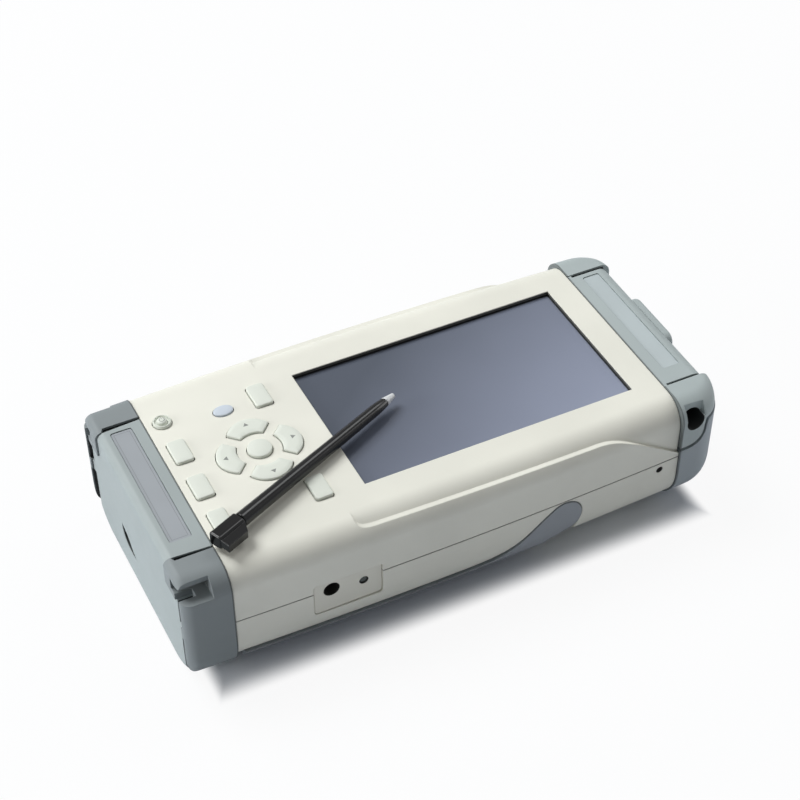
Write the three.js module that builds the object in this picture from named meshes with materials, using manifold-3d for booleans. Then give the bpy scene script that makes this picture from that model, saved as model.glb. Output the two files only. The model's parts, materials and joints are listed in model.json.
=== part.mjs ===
// Handheld spectrum analyzer, lying on its back with its stylus across the face.
// Millimetres. +X runs from the bottom end to the connector end, +Z out of the screen.

import * as THREE from 'three';
import { mergeVertices } from 'three/addons/utils/BufferGeometryUtils.js';
import Module from 'manifold-3d';

const wasm = await Module();
wasm.setup();

// Shared sizes of the two moulded shells
const shell = {
  halfWidth: 46.7,
  bowRadius: 2000,
  bowCentreX: -10,
  startX: -81,
  endX: 79,
  topZ: 47.8,
  backZ: 2.2,
  topRound: 8,
  backRound: 16.2,
  partingZ: 27,
  upperWall: 2.6,
  topWall: 2.4,
  lowerWall: 3,
  endWall: 2,
  partingGap: 0.3,
  lipHeight: 1.6,
  lipWidth: 1.4,
  lipClearance: 0.2,
};

// Hollow along both upper long edges that runs down to the connector end
const scoop = {
  depth: 1.5,
  round: 9.4,
  startX: -37.5,
  startZ: 47,
  cornerX: -33.5,
  cornerZ: 45.75,
  bendX: 47,
  bendZ: 44.7,
  leadX: 58,
  leadZ: 44.5,
  pullX: 62,
  pullZ: 40,
  endZ: 27.3,
};

// Screen window and the stack behind it
const screen = {
  centreX: 20.3,
  length: 97.8,
  height: 56.4,
  seatRise: 1.1,
  seatGap: 0.2,
  gasketThickness: 0.5,
  gasketSetback: 0.6,
  glassThickness: 1.6,
  glassMargin: 3.2,
  lcdThickness: 5.2,
  lcdMarginX: 3.3,
  lcdMarginY: 5.2,
  bracketThickness: 1.2,
  bracketRim: 7,
};

// Keys: outline sizes, places on the face and heights above it
const key = {
  clearance: 0.25,
  travel: 0.6,
  rise: 1.2,
  bevel: 0.5,
  flangeThickness: 0.6,
  flangeMargin: 0.8,
  flangeDrop: 0.3,
  slimWidth: 6,
  slimLength: 10.4,
  cornerRound: 1.1,
  leftColumnX: -75.2,
  rightColumnX: -42.2,
  presetY: 10.6,
  viewY: -6.8,
  markerY: -23.4,
  exitY: 23.6,
  statusY: -23.3,
};

const powerKey = {
  x: -75.4,
  y: 26,
  radius: 3.1,
  collarWidth: 0.7,
  collarRise: 1,
  grooveRise: 0.4,
  domeRadius: 1.7,
  domeRise: 1.6,
  flangeReach: 0.9,
};

const screenKey = { x: -55.6, y: 22.3, halfLength: 3.4, halfWidth: 2.4, rise: 0.8, bevel: 0.4 };

// Direction cluster: a round key in a ring of four petals
const cluster = {
  centreX: -52,
  centreY: 0.6,
  enterRadius: 4.1,
  enterRise: 1.4,
  petalInner: 7.6,
  petalSideOffset: 2.6,
  petalOuter: 8.1,
  petalOuterCentre: 6.4,
  petalRise: 1,
  petalBevel: 0.4,
};

// Mat and contact board under the keys, and the posts that hold them down
const keypad = {
  startX: -77.5,
  endX: -33,
  halfWidth: 33,
  pressGap: 0.1,
  matThickness: 0.7,
  boardThickness: 1.4,
  postRadius: 2,
  postInset: 2,
  postSetX: 7.5,
};

// Circuit board, its standoffs and what it carries
const board = {
  startX: -75,
  endX: 72,
  halfWidth: 34,
  bottomZ: 30,
  thickness: 1.6,
  standoffX: 60,
  standoffY: 28,
  standoffRadius: 3,
  canStartX: 20,
  canEndX: 68,
  canHalfWidth: 25,
  canHeight: 5,
  canWall: 0.8,
  sounderX: 48,
  sounderY: -18,
  sounderRadius: 6,
  sounderHeight: 6,
  sounderHole: 1,
};

// Shell screws driven from the back
const caseScrew = {
  setback: 7,
  farSetback: 9,
  y: 38.5,
  lowerBoss: 4,
  upperBoss: 3.5,
  headZ: 10,
  headThickness: 2,
  headRadius: 2.5,
  headClearance: 0.2,
  shankRadius: 1.4,
  shankTopZ: 36,
  boreRadius: 1.7,
  pilotRadius: 1.5,
  pilotSpare: 1,
};

// Battery, its well in the lower shell and the cover over it
const battery = {
  startX: -56,
  endX: 12,
  halfWidth: 21,
  height: 15.4,
  round: 3,
  bevel: 1,
  wellClearance: 1,
  wellWall: 1.6,
  wellHeight: 5,
  coverThickness: 2.4,
  coverLap: 2,
  coverTongue: 9,
  coverGap: 0.3,
  coverRound: 2,
  screwInsetX: 5,
  screwY: 18,
  screwHeadRadius: 2.2,
  screwHeadThickness: 1.2,
  screwShankRadius: 1.2,
  screwLength: 7,
  screwBoss: 3,
  screwBossHeight: 7,
  screwClearance: 0.2,
};

// Tilt stand, a flat frame that wraps round the back's edges and turns on two pins
const stand = {
  hingeX: 34.8,
  hingeZ: 19.6,
  startX: -78,
  barEndX: -64,
  openingGap: 3,
  openingRound: 4,
  proud: 0.35,
  outerBackZ: 0.85,
  outerRound: 16,
  sideDepth: 1.6,
  innerBackZ: 3.05,
  innerRound: 14.5,
  recessExtra: 0.3,
  edgeZ: 9.1,
  straightEndX: 0,
  leadX: 14,
  pullX: 21.2,
  pullZ: 18.2,
  earRadius: 6.6,
  earClearance: 0.4,
  earStartDeg: 125,
  earEndDeg: -75,
  heelX: 30.4,
  heelZ: 10.5,
  toeX: 25,
  toeZ: 2,
  reliefFromX: 16,
  reliefStepDeg: 10,
  earInnerY: 44.9,
  edgeGap: 0.8,
  sideGap: 0.4,
  heelGap: 2,
  maxOpenDeg: 50,
};

const standPin = {
  radius: 1.5,
  innerY: 39,
  earBite: 1.1,
  earPlay: 0.1,
  bossPlay: 0.05,
  bossRadius: 4,
  bossInnerY: 38.6,
};

// End caps and the corner guards on them
const cap = {
  seam: 0.2,
  grow: 0.25,
  bottomZ: 0.8,
  guardProud: 0.25,
};

const bottomCap = {
  endX: -96.4,
  guardEndX: -97.1,
  fillet: 2.6,
  cornerRound: 3.5,
  backRound: 12,
  shoulderZ: 38.5,
  shoulderY: 31.95,
  flankY: 40.6,
  slotWidth: 1.1,
  slitY: 40.1,
  slitWidth: 3.4,
  slitDepth: 5.6,
  slitLowFromZ: 5,
  slitLowToZ: 23.5,
  slitHighFromZ: 28,
  slitHighToZ: 41.2,
  strapFromX: -95,
  strapToX: -87,
  strapFloorZ: 41,
  strapRoofZ: 45.3,
  strapOpenY: 41.2,
  strapInnerY: 35.5,
  grooveCentreY: 1.9,
  grooveCentreZ: 29.9,
  grooveRadius: 15.2,
  grooveWidth: 2.6,
  grooveDepth: 1.8,
  grooveTaperShare: 0.7,
  groovePoints: 8,
  grooveFromDeg: -90,
  grooveToDeg: -33,
  labelFromX: -92.3,
  labelToX: -85.2,
  labelFromY: -24.3,
  labelToY: 28.5,
};

const topCap = {
  endX: 95,
  guardEndX: 96.2,
  fillet: 4,
  cornerRound: 12,
  backRound: 16,
  guardY: 33,
  guardStepX: 82,
  guardArcZ: 37,
  guardRadius: 7.4,
  guardRiseX: 89.6,
  guardRiseZ: 42,
  guardTopZ: 43.5,
  guardGroove: 1.2,
  slotY: 31.4,
  slotWidth: 1.1,
  slotDepth: 3,
  slotFromX: 80.6,
  slotToX: 93.8,
  labelFromX: 83.9,
  labelToX: 90.1,
  labelFromY: -23.8,
  labelToY: 29,
};

const label = { recess: 0.8, thickness: 0.5, gap: 0.15, round: 0.8 };

// Bore in the top cap that takes the stylus, and the hollow for its lug
const garage = {
  x: 84.2,
  z: 40.9,
  radius: 3.4,
  depthY: 40,
  lugFromX: 81,
  lugToX: 87,
  lugFromZ: 42,
  lugToZ: 46.3,
  lugInnerY: 42.2,
};

// Signal connector, its recess and the hood round it
const connector = {
  y: 1.7,
  z: 30.8,
  recessRadius: 9.5,
  recessFloorX: 88.3,
  bodyRadius: 3.1,
  bodyEndX: 96.8,
  boreClearance: 0.3,
  flangeRadius: 4.2,
  flangeFromX: 72.2,
  flangeToX: 76.2,
  nutRadius: 4.6,
  nutThickness: 2,
  nutClearance: 0.05,
  cupRadius: 2.3,
  cupFloorX: 90.8,
  insertRadius: 2.2,
  insertEndX: 96,
  contactRadius: 0.6,
  contactDepth: 3,
};

const hood = {
  fromY: -10.8,
  toY: 14.2,
  fromZ: 15.8,
  toZ: 46.6,
  seatX: 94,
  endX: 97.1,
  round: 3.2,
  bevel: 1.6,
  clearance: 0.2,
};

// Charger socket panel on the near side and what sits behind it
const panel = {
  fromX: -55,
  toX: -31.7,
  fromZ: 17.5,
  toZ: 30.2,
  faceY: 45.95,
  thickness: 3.15,
  gap: 0.2,
  round: 1.2,
  flangeThickness: 1,
  flangeMargin: 1,
  chargeX: -49,
  chargeZ: 26.5,
  chargeRadius: 2.8,
  lightX: -37.9,
  lightZ: 25.2,
  lightRadius: 1.6,
};

const dcSocket = {
  halfWidth: 4.5,
  depth: 12,
  height: 7.5,
  boreRadius: 2.5,
  boreDepth: 9.5,
  pinRadius: 0.8,
  pinShort: 1.5,
};

const lightGuide = {
  radius: 1.2,
  sunk: 0.35,
  innerY: 36.5,
  blockHalf: 2,
  blockInnerY: 31.5,
  blockBelow: 1.2,
};

const resetHole = { x: 71.8, z: 24.1, radius: 1.3, depth: 1.8 };

const foot = { halfLength: 8, halfWidth: 4, height: 1.4, pocketGap: 0.15, y: 20, leftX: -87.4, rightX: 86 };

// Stylus: where its two ends lie and how thick it is
const stylus = {
  tailX: -81.1,
  tailY: -33.7,
  tailZ: 52.2,
  tipX: -3.5,
  tipY: 2.6,
  tipZ: 49.7,
  headLength: 11,
  headHalf: 2.5,
  headBevel: 0.5,
  headRound: 1.1,
  headSocket: 4,
  barrelRadius: 2.5,
  barrelTaperRadius: 2,
  noseLength: 6,
  tipLength: 4.8,
  tipRadius: 1.6,
  tipEndRadius: 0.9,
  spigotRadius: 1.1,
  spigotLength: 3,
  jointGap: 0.3,
  lugReach: 5.8,
  lugLength: 8.4,
  lugLow: 1.2,
  lugHigh: 1.6,
  lugTaper: 3.4,
  lugBase: 1,
};

const overrun = 20;
const mergeTolerance = 1e-4;

// How finely round forms are cut into faces
const topSteps = 4;
const backSteps = 6;
const bowSteps = 5;
const hiddenBowSteps = 4;
const filletSteps = 3;
const roundSides = 20;
const smallSides = 12;
const hexSides = 6;
const arcSteps = 2;
const wideArcSteps = 8;

const quarter = Math.PI / 2;
const rad = THREE.MathUtils.degToRad;
const sides = [{ word: 'near', sign: -1 }, { word: 'far', sign: 1 }];

// Closed surface to a solid that can be joined and cut
function toSolid(geometry) {
  const bare = geometry.clone();
  bare.deleteAttribute('normal');
  bare.deleteAttribute('uv');
  const merged = mergeVertices(bare, mergeTolerance);
  const corners = merged.index.array;
  const kept = [];
  for (let i = 0; i < corners.length; i += 3) {
    const [a, b, c] = [corners[i], corners[i + 1], corners[i + 2]];
    if (a !== b && b !== c && c !== a) kept.push(a, b, c);
  }
  const mesh = new wasm.Mesh({
    numProp: 3,
    vertProperties: new Float32Array(merged.attributes.position.array),
    triVerts: new Uint32Array(kept),
  });
  mesh.merge();
  return new wasm.Manifold(mesh);
}

// Solid back to a three.js geometry
function fromSolid(solid) {
  const mesh = solid.getMesh();
  const geometry = new THREE.BufferGeometry();
  geometry.setAttribute('position', new THREE.Float32BufferAttribute(mesh.vertProperties, 3));
  geometry.setIndex(new THREE.Uint32BufferAttribute(mesh.triVerts, 1));
  geometry.computeVertexNormals();
  return geometry;
}

function join(solids) {
  return solids.reduce((whole, piece) => whole.add(piece));
}

function cut(solid, cutters) {
  return cutters.reduce((rest, cutter) => rest.subtract(cutter), solid);
}

function toShape(outline) {
  if (outline instanceof THREE.Shape) return outline;
  return new THREE.Shape(outline.map(([u, v]) => new THREE.Vector2(u, v)));
}

// Straight extrusion of an outline, with the same bevel at both ends where one is given
function extrusion(outline, length, bevel = 0, curveSegments = arcSteps) {
  const geometry = new THREE.ExtrudeGeometry(toShape(outline), {
    depth: length - 2 * bevel,
    bevelEnabled: bevel > 0,
    bevelThickness: bevel,
    bevelSize: bevel,
    bevelOffset: -bevel,
    bevelSegments: 1,
    curveSegments,
  });
  geometry.translate(0, 0, bevel);
  return geometry;
}

// Prisms along the three axes, from outlines in the other two
function prismX(outline, fromX, toX, bevel = 0, curveSegments = arcSteps) {
  const geometry = extrusion(outline, toX - fromX, bevel, curveSegments);
  const turn = new THREE.Matrix4().makeBasis(
    new THREE.Vector3(0, 1, 0),
    new THREE.Vector3(0, 0, 1),
    new THREE.Vector3(1, 0, 0),
  );
  geometry.applyMatrix4(turn);
  geometry.translate(fromX, 0, 0);
  return toSolid(geometry);
}

function prismY(outline, fromY, toY, bevel = 0, curveSegments = arcSteps) {
  const geometry = extrusion(outline, toY - fromY, bevel, curveSegments);
  geometry.rotateX(quarter);
  geometry.translate(0, toY, 0);
  return toSolid(geometry);
}

function prismZ(outline, fromZ, toZ, bevel = 0, curveSegments = arcSteps) {
  const geometry = extrusion(outline, toZ - fromZ, bevel, curveSegments);
  geometry.translate(0, 0, fromZ);
  return toSolid(geometry);
}

function box(fromX, toX, fromY, toY, fromZ, toZ) {
  const geometry = new THREE.BoxGeometry(toX - fromX, toY - fromY, toZ - fromZ);
  geometry.translate((fromX + toX) / 2, (fromY + toY) / 2, (fromZ + toZ) / 2);
  return toSolid(geometry);
}

// Round bars along the three axes
function rodX(fromX, toX, y, z, radius, sideCount = roundSides) {
  const geometry = new THREE.CylinderGeometry(radius, radius, toX - fromX, sideCount);
  geometry.rotateZ(-quarter);
  geometry.translate((fromX + toX) / 2, y, z);
  return toSolid(geometry);
}

function rodY(fromY, toY, x, z, radius, sideCount = roundSides) {
  const geometry = new THREE.CylinderGeometry(radius, radius, Math.abs(toY - fromY), sideCount);
  geometry.translate(x, (fromY + toY) / 2, z);
  return toSolid(geometry);
}

function rodZ(fromZ, toZ, x, y, radius, sideCount = smallSides) {
  const geometry = new THREE.CylinderGeometry(radius, radius, toZ - fromZ, sideCount);
  geometry.rotateX(quarter);
  geometry.translate(x, y, (fromZ + toZ) / 2);
  return toSolid(geometry);
}

// Rectangle with rounded corners
function roundedRect(fromU, toU, fromV, toV, round) {
  const shape = new THREE.Shape();
  shape.moveTo(fromU + round, fromV);
  shape.lineTo(toU - round, fromV);
  shape.absarc(toU - round, fromV + round, round, -quarter, 0, false);
  shape.lineTo(toU, toV - round);
  shape.absarc(toU - round, toV - round, round, 0, quarter, false);
  shape.lineTo(fromU + round, toV);
  shape.absarc(fromU + round, toV - round, round, quarter, Math.PI, false);
  shape.lineTo(fromU, fromV + round);
  shape.absarc(fromU + round, fromV + round, round, Math.PI, Math.PI + quarter, false);
  return shape;
}

function halfWidthAt(x) {
  return shell.halfWidth - (x - shell.bowCentreX) ** 2 / (2 * shell.bowRadius);
}

// Section of the body at one place: flat face, rounded upper edges, well rounded back edges
function bodyRing(x, { half, top, bottom, topRound, backRound }) {
  const ring = [];
  const arc = (y, z, radius, start, steps) => {
    for (let i = 0; i <= steps; i += 1) {
      const turn = start + quarter * (i / steps);
      ring.push([x, y + radius * Math.cos(turn), z + radius * Math.sin(turn)]);
    }
  };
  arc(half - backRound, bottom + backRound, backRound, -quarter, backSteps);
  arc(half - topRound, top - topRound, topRound, 0, topSteps);
  arc(topRound - half, top - topRound, topRound, quarter, topSteps);
  arc(backRound - half, bottom + backRound, backRound, Math.PI, backSteps);
  return ring;
}

// Skin through a row of sections, closed at both ends
function loft(rings) {
  const count = rings[0].length;
  const points = rings.flat();
  const faces = [];
  for (let i = 0; i + 1 < rings.length; i += 1) {
    for (let j = 0; j < count; j += 1) {
      const next = (j + 1) % count;
      const [a, b] = [i * count + j, i * count + next];
      const [c, d] = [(i + 1) * count + next, (i + 1) * count + j];
      faces.push(a, b, d, b, c, d);
    }
  }
  const closeEnd = (ring, first, flip) => {
    const middle = points.length;
    points.push([0, 1, 2].map((axis) => ring.reduce((sum, point) => sum + point[axis], 0) / count));
    for (let j = 0; j < count; j += 1) {
      const [a, b] = [first + j, first + (j + 1) % count];
      faces.push(...(flip ? [middle, b, a] : [middle, a, b]));
    }
  };
  closeEnd(rings[0], 0, true);
  closeEnd(rings.at(-1), (rings.length - 1) * count, false);
  const geometry = new THREE.BufferGeometry();
  geometry.setAttribute('position', new THREE.Float32BufferAttribute(points.flat(), 3));
  geometry.setIndex(faces);
  return toSolid(geometry);
}

// Bowed body between two end planes, moved in from the shell's sides by an inset
function bowedBody(fromX, toX, { inset = 0, ...section }, steps = bowSteps) {
  const rings = [];
  for (let i = 0; i <= steps; i += 1) {
    const x = fromX + (toX - fromX) * (i / steps);
    rings.push(bodyRing(x, { half: halfWidthAt(x) - inset, ...section }));
  }
  return loft(rings);
}

// How far a quarter round has come in at some distance from its end
function roundedIn(round, distance) {
  const along = Math.max(0, round - distance);
  return round - Math.sqrt(round * round - along * along);
}

// End cap body: bowed sides, corners rounded in plan and a filleted end
function cappedBody(seamX, endX, { fillet, cornerRound, backRound }, proud) {
  const way = Math.sign(endX - seamX);
  const distances = new Set([Math.abs(endX - seamX)]);
  for (let i = 0; i <= filletSteps; i += 1) {
    const left = 1 - Math.sin(quarter * (i / filletSteps));
    distances.add(fillet * left);
    if (cornerRound * left > fillet) distances.add(cornerRound * left);
  }
  const rings = [...distances].sort((a, b) => b - a).map((distance) => {
    const x = endX - way * distance;
    const inset = roundedIn(fillet, distance);
    return bodyRing(x, {
      half: halfWidthAt(x) + cap.grow + proud - roundedIn(cornerRound, distance),
      top: shell.topZ + proud - inset,
      bottom: cap.bottomZ - proud + inset,
      topRound: shell.topRound - inset,
      backRound: backRound - inset,
    });
  });
  return loft(way < 0 ? rings.reverse() : rings);
}

const group = new THREE.Group();

function finish(color, roughness, metalness = 0) {
  return new THREE.MeshStandardMaterial({ color, roughness, metalness });
}

const paleShell = finish(0xe6e6de, 0.5);
const greyCap = finish(0x9aa3a3, 0.6);
const greyGuard = finish(0x8c9595, 0.65);
const greyStand = finish(0x70767a, 0.6);
const labelGrey = finish(0x9a9aa4, 0.5);
const keyRubber = finish(0xd2d6d4, 0.7);
const keyBlue = finish(0x7f93a8, 0.7);
const glassDark = finish(0x8fa0ae, 0.1);
const blackPlastic = finish(0x1b1b1d, 0.45);
const silver = finish(0xc9ccce, 0.3, 1);
const brass = finish(0xc9a24b, 0.35, 1);
const steel = finish(0x9ea1a4, 0.35, 1);
const boardGreen = finish(0x1f5a38, 0.6);
const clearPlastic = finish(0xdfe8e4, 0.2);
const footRubber = finish(0x3a3c3e, 0.85);
const whitePlastic = finish(0xece9dd, 0.4);

function addPiece(name, solid, material, parent = group) {
  const mesh = new THREE.Mesh(fromSolid(solid), material);
  mesh.name = name;
  parent.add(mesh);
}

// Shell bodies: outside, cavity and lip
const cavityTopZ = shell.topZ - shell.topWall;
const cavityStartX = shell.startX + shell.endWall;
const cavityEndX = shell.endX - shell.endWall;
const shellOutside = bowedBody(shell.startX, shell.endX, {
  top: shell.topZ,
  bottom: shell.backZ,
  topRound: shell.topRound,
  backRound: shell.backRound,
});

function cavity(wall) {
  return bowedBody(cavityStartX, cavityEndX, {
    inset: wall,
    top: cavityTopZ,
    bottom: shell.backZ + shell.lowerWall,
    topRound: shell.topRound - shell.topWall,
    backRound: shell.backRound - shell.lowerWall,
  }, hiddenBowSteps);
}

const lipOutset = shell.lipWidth - shell.lowerWall;

// Body that the lip fills, or with a clearance the groove that takes it
function lipBody(clearance) {
  const reach = shell.lipWidth * (shell.endWall / shell.lowerWall) + clearance;
  return bowedBody(cavityStartX - reach, cavityEndX + reach, {
    inset: -lipOutset - clearance,
    top: shell.topZ,
    bottom: shell.backZ,
    topRound: shell.topRound,
    backRound: shell.backRound,
  }, hiddenBowSteps).intersect(box(
    shell.startX, shell.endX, -shell.halfWidth, shell.halfWidth,
    shell.partingZ - shell.lipHeight, shell.partingZ + shell.lipHeight + clearance,
  ));
}

// Screws that hold the shells together
const screwPlaces = [];
for (const { word, sign } of sides) {
  screwPlaces.push({ word: `left_${word}`, x: shell.startX + caseScrew.setback, y: sign * caseScrew.y });
  screwPlaces.push({ word: `right_${word}`, x: shell.endX - caseScrew.farSetback, y: sign * caseScrew.y });
}

// Heights in the keypad and the screen stack
const flangeTopZ = cavityTopZ - key.flangeDrop;
const flangeBottomZ = flangeTopZ - key.flangeThickness;
const matTopZ = flangeBottomZ - key.travel - keypad.pressGap;
const matBottomZ = matTopZ - keypad.matThickness;
const screenHalfLength = screen.length / 2;
const screenHalfHeight = screen.height / 2;

// Key outlines, grown for a clearance or a flange
function slimOutline(x, y, growX, growY) {
  return roundedRect(
    x - key.slimWidth / 2 - growX, x + key.slimWidth / 2 + growX,
    y - key.slimLength / 2 - growY, y + key.slimLength / 2 + growY,
    key.cornerRound,
  );
}

function circleOutline(x, y, radius) {
  return new THREE.Shape().absarc(x, y, radius, 0, 2 * Math.PI, false);
}

function ovalOutline(x, y, halfLength, halfWidth) {
  return new THREE.Shape().absellipse(x, y, halfLength, halfWidth, 0, 2 * Math.PI, false, 0);
}

// One petal pointing along +Y: hollow inner arc, slanted sides, bulging outer arc
function petalOutline(grow) {
  const inner = cluster.petalInner - grow;
  const outer = cluster.petalOuter + grow;
  const offset = cluster.petalSideOffset - grow * Math.SQRT2;
  const outerDrop = offset - cluster.petalOuterCentre;
  const meet = (radius, shift) => (Math.sqrt(2 * radius ** 2 - shift ** 2) - shift) / 2;
  const innerU = meet(inner, offset);
  const outerU = meet(outer, outerDrop);
  const innerTurn = Math.atan2(innerU + offset, innerU);
  const outerTurn = Math.atan2(outerU + outerDrop, outerU);
  const shape = new THREE.Shape();
  shape.moveTo(-innerU, innerU + offset);
  shape.absarc(0, 0, inner, Math.PI - innerTurn, innerTurn, true);
  shape.lineTo(outerU, outerU + offset);
  shape.absarc(0, cluster.petalOuterCentre, outer, outerTurn, Math.PI - outerTurn, false);
  return shape;
}

function placed(solid, turn, x, y) {
  return solid.rotate([0, 0, THREE.MathUtils.radToDeg(turn)]).translate([x, y, 0]);
}

// Every key: its name, its body and the hole that it works in
const keys = [];
const slimKeys = [
  ['preset_key', key.leftColumnX, key.presetY],
  ['view_key', key.leftColumnX, key.viewY],
  ['marker_key', key.leftColumnX, key.markerY],
  ['exit_key', key.rightColumnX, key.exitY],
  ['status_key', key.rightColumnX, key.statusY],
];
const holeFromZ = cavityTopZ - overrun / 4;
const holeToZ = shell.topZ + overrun;

for (const [name, x, y] of slimKeys) {
  const button = prismZ(slimOutline(x, y, 0, 0), flangeBottomZ, shell.topZ + key.rise, key.bevel);
  const flange = prismZ(slimOutline(x, y, 0, key.flangeMargin), flangeBottomZ, flangeTopZ);
  keys.push({
    name,
    body: button.add(flange),
    hole: prismZ(slimOutline(x, y, key.clearance, key.clearance), holeFromZ, holeToZ),
    material: keyRubber,
  });
}

const petalNames = ['left_key', 'down_key', 'right_key', 'up_key'];
petalNames.forEach((name, i) => {
  const turn = quarter * i;
  const button = prismZ(petalOutline(0), flangeBottomZ, shell.topZ + cluster.petalRise, cluster.petalBevel);
  const flange = prismZ(petalOutline(key.flangeMargin), flangeBottomZ, flangeTopZ);
  const hole = prismZ(petalOutline(key.clearance), holeFromZ, holeToZ);
  keys.push({
    name,
    body: placed(button.add(flange), turn, cluster.centreX, cluster.centreY),
    hole: placed(hole, turn, cluster.centreX, cluster.centreY),
    material: keyRubber,
  });
});

const enterAt = [cluster.centreX, cluster.centreY];
keys.push({
  name: 'enter_key',
  body: prismZ(
    circleOutline(...enterAt, cluster.enterRadius),
    flangeBottomZ, shell.topZ + cluster.enterRise, key.bevel, wideArcSteps,
  ).add(rodZ(flangeBottomZ, flangeTopZ, ...enterAt, cluster.enterRadius + key.flangeMargin)),
  hole: rodZ(holeFromZ, holeToZ, ...enterAt, cluster.enterRadius + key.clearance, roundSides),
  material: keyRubber,
});

keys.push({
  name: 'screen_key',
  body: prismZ(
    ovalOutline(screenKey.x, screenKey.y, screenKey.halfLength, screenKey.halfWidth),
    flangeBottomZ, shell.topZ + screenKey.rise, screenKey.bevel, wideArcSteps,
  ).add(prismZ(
    ovalOutline(
      screenKey.x, screenKey.y,
      screenKey.halfLength + key.flangeMargin, screenKey.halfWidth + key.flangeMargin,
    ),
    flangeBottomZ, flangeTopZ, 0, wideArcSteps,
  )),
  hole: prismZ(
    ovalOutline(
      screenKey.x, screenKey.y,
      screenKey.halfLength + key.clearance, screenKey.halfWidth + key.clearance,
    ),
    holeFromZ, holeToZ, 0, wideArcSteps,
  ),
  material: keyBlue,
});

// Power key: a collar with a dome standing in it
function powerKeyBody() {
  const collarInner = powerKey.radius - powerKey.collarWidth;
  const profile = [
    [0, flangeBottomZ],
    [powerKey.radius, flangeBottomZ],
    [powerKey.radius, shell.topZ + powerKey.grooveRise],
    [(powerKey.radius + collarInner) / 2, shell.topZ + powerKey.collarRise],
    [collarInner, shell.topZ + powerKey.grooveRise],
    [powerKey.domeRadius, shell.topZ + powerKey.grooveRise],
    [powerKey.domeRadius, shell.topZ + powerKey.collarRise],
    [powerKey.domeRadius / 2, shell.topZ + powerKey.domeRise],
    [0, shell.topZ + powerKey.domeRise],
  ].map(([radius, z]) => new THREE.Vector2(radius, z));
  const turned = new THREE.LatheGeometry(profile, roundSides);
  turned.rotateX(quarter);
  turned.translate(powerKey.x, powerKey.y, 0);
  const flange = box(
    powerKey.x - powerKey.domeRadius, powerKey.x + powerKey.domeRadius,
    powerKey.y - powerKey.radius - powerKey.flangeReach, powerKey.y + powerKey.radius + powerKey.flangeReach,
    flangeBottomZ, flangeTopZ,
  );
  return toSolid(turned).add(flange);
}

keys.push({
  name: 'power_key',
  body: powerKeyBody(),
  hole: rodZ(holeFromZ, holeToZ, powerKey.x, powerKey.y, powerKey.radius + key.clearance, roundSides),
  material: keyRubber,
});

for (const { name, body, material } of keys) addPiece(name, body, material);

// Hollow along the upper side edges
function scoopCutter() {
  const outline = new THREE.Shape();
  const aboveZ = shell.topZ + overrun;
  outline.moveTo(scoop.startX, aboveZ);
  outline.lineTo(scoop.startX, scoop.startZ);
  outline.quadraticCurveTo(scoop.startX, scoop.cornerZ, scoop.cornerX, scoop.cornerZ);
  outline.lineTo(scoop.bendX, scoop.bendZ);
  outline.bezierCurveTo(
    scoop.leadX, scoop.leadZ, scoop.pullX, scoop.pullZ, shell.endX + overrun / 10, scoop.endZ,
  );
  outline.lineTo(shell.endX + overrun / 10, aboveZ);
  const reach = shell.halfWidth + overrun;
  const inside = bowedBody(shell.startX - overrun, shell.endX + overrun, {
    inset: scoop.depth,
    top: shell.topZ,
    bottom: shell.backZ,
    topRound: scoop.round,
    backRound: shell.backRound,
  });
  return prismY(outline, -reach, reach, 0, wideArcSteps).subtract(inside);
}

// Window, panel and connector openings shared by the shells
function screenPlate(marginX, marginY, fromZ, toZ) {
  return box(
    screen.centreX - screenHalfLength - marginX, screen.centreX + screenHalfLength + marginX,
    -screenHalfHeight - marginY, screenHalfHeight + marginY, fromZ, toZ,
  );
}
const windowHole = screenPlate(0, 0, holeFromZ, holeToZ);
const seatMargin = screen.glassMargin + screen.seatGap;
const glassSeat = screenPlate(seatMargin, seatMargin, holeFromZ, cavityTopZ + screen.seatRise);
const panelHole = prismY(
  roundedRect(
    panel.fromX - panel.gap, panel.toX + panel.gap,
    panel.fromZ - panel.gap, panel.toZ + panel.gap, panel.round,
  ),
  -shell.halfWidth - overrun, -board.halfWidth - caseScrew.upperBoss,
);
const connectorBore = rodX(
  cavityEndX - overrun / 10, connector.recessFloorX + overrun / 20,
  connector.y, connector.z, connector.bodyRadius + connector.boreClearance,
);

// Posts that press the keypad's corners down
const postPlaces = [];
for (const { sign } of sides) {
  const y = sign * (keypad.halfWidth - keypad.postInset);
  postPlaces.push([keypad.startX + keypad.postSetX, y], [keypad.endX - keypad.postInset, y]);
}

function upperCase() {
  const above = box(
    shell.startX - overrun, shell.endX + overrun, -shell.halfWidth - overrun, shell.halfWidth + overrun,
    shell.partingZ + shell.partingGap / 2, shell.topZ + overrun,
  );
  const skin = cut(shellOutside.intersect(above), [cavity(shell.upperWall), lipBody(shell.lipClearance)]);
  const bosses = screwPlaces.map(({ x, y }) => rodZ(
    shell.partingZ, cavityTopZ + shell.topWall / 2, x, y, caseScrew.upperBoss,
  ));
  const pilots = screwPlaces.map(({ x, y }) => rodZ(
    shell.partingZ - overrun / 10, caseScrew.shankTopZ + caseScrew.pilotSpare, x, y, caseScrew.pilotRadius,
  ));
  const posts = postPlaces.map(([x, y]) => rodZ(
    matTopZ, cavityTopZ + shell.topWall / 2, x, y, keypad.postRadius,
  ));
  return cut(join([skin, ...bosses, ...posts]).intersect(shellOutside), [
    scoopCutter(), ...pilots, windowHole, glassSeat, panelHole, connectorBore,
    ...keys.map(({ hole }) => hole),
  ]);
}

addPiece('upper_case', upperCase(), paleShell);

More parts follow.
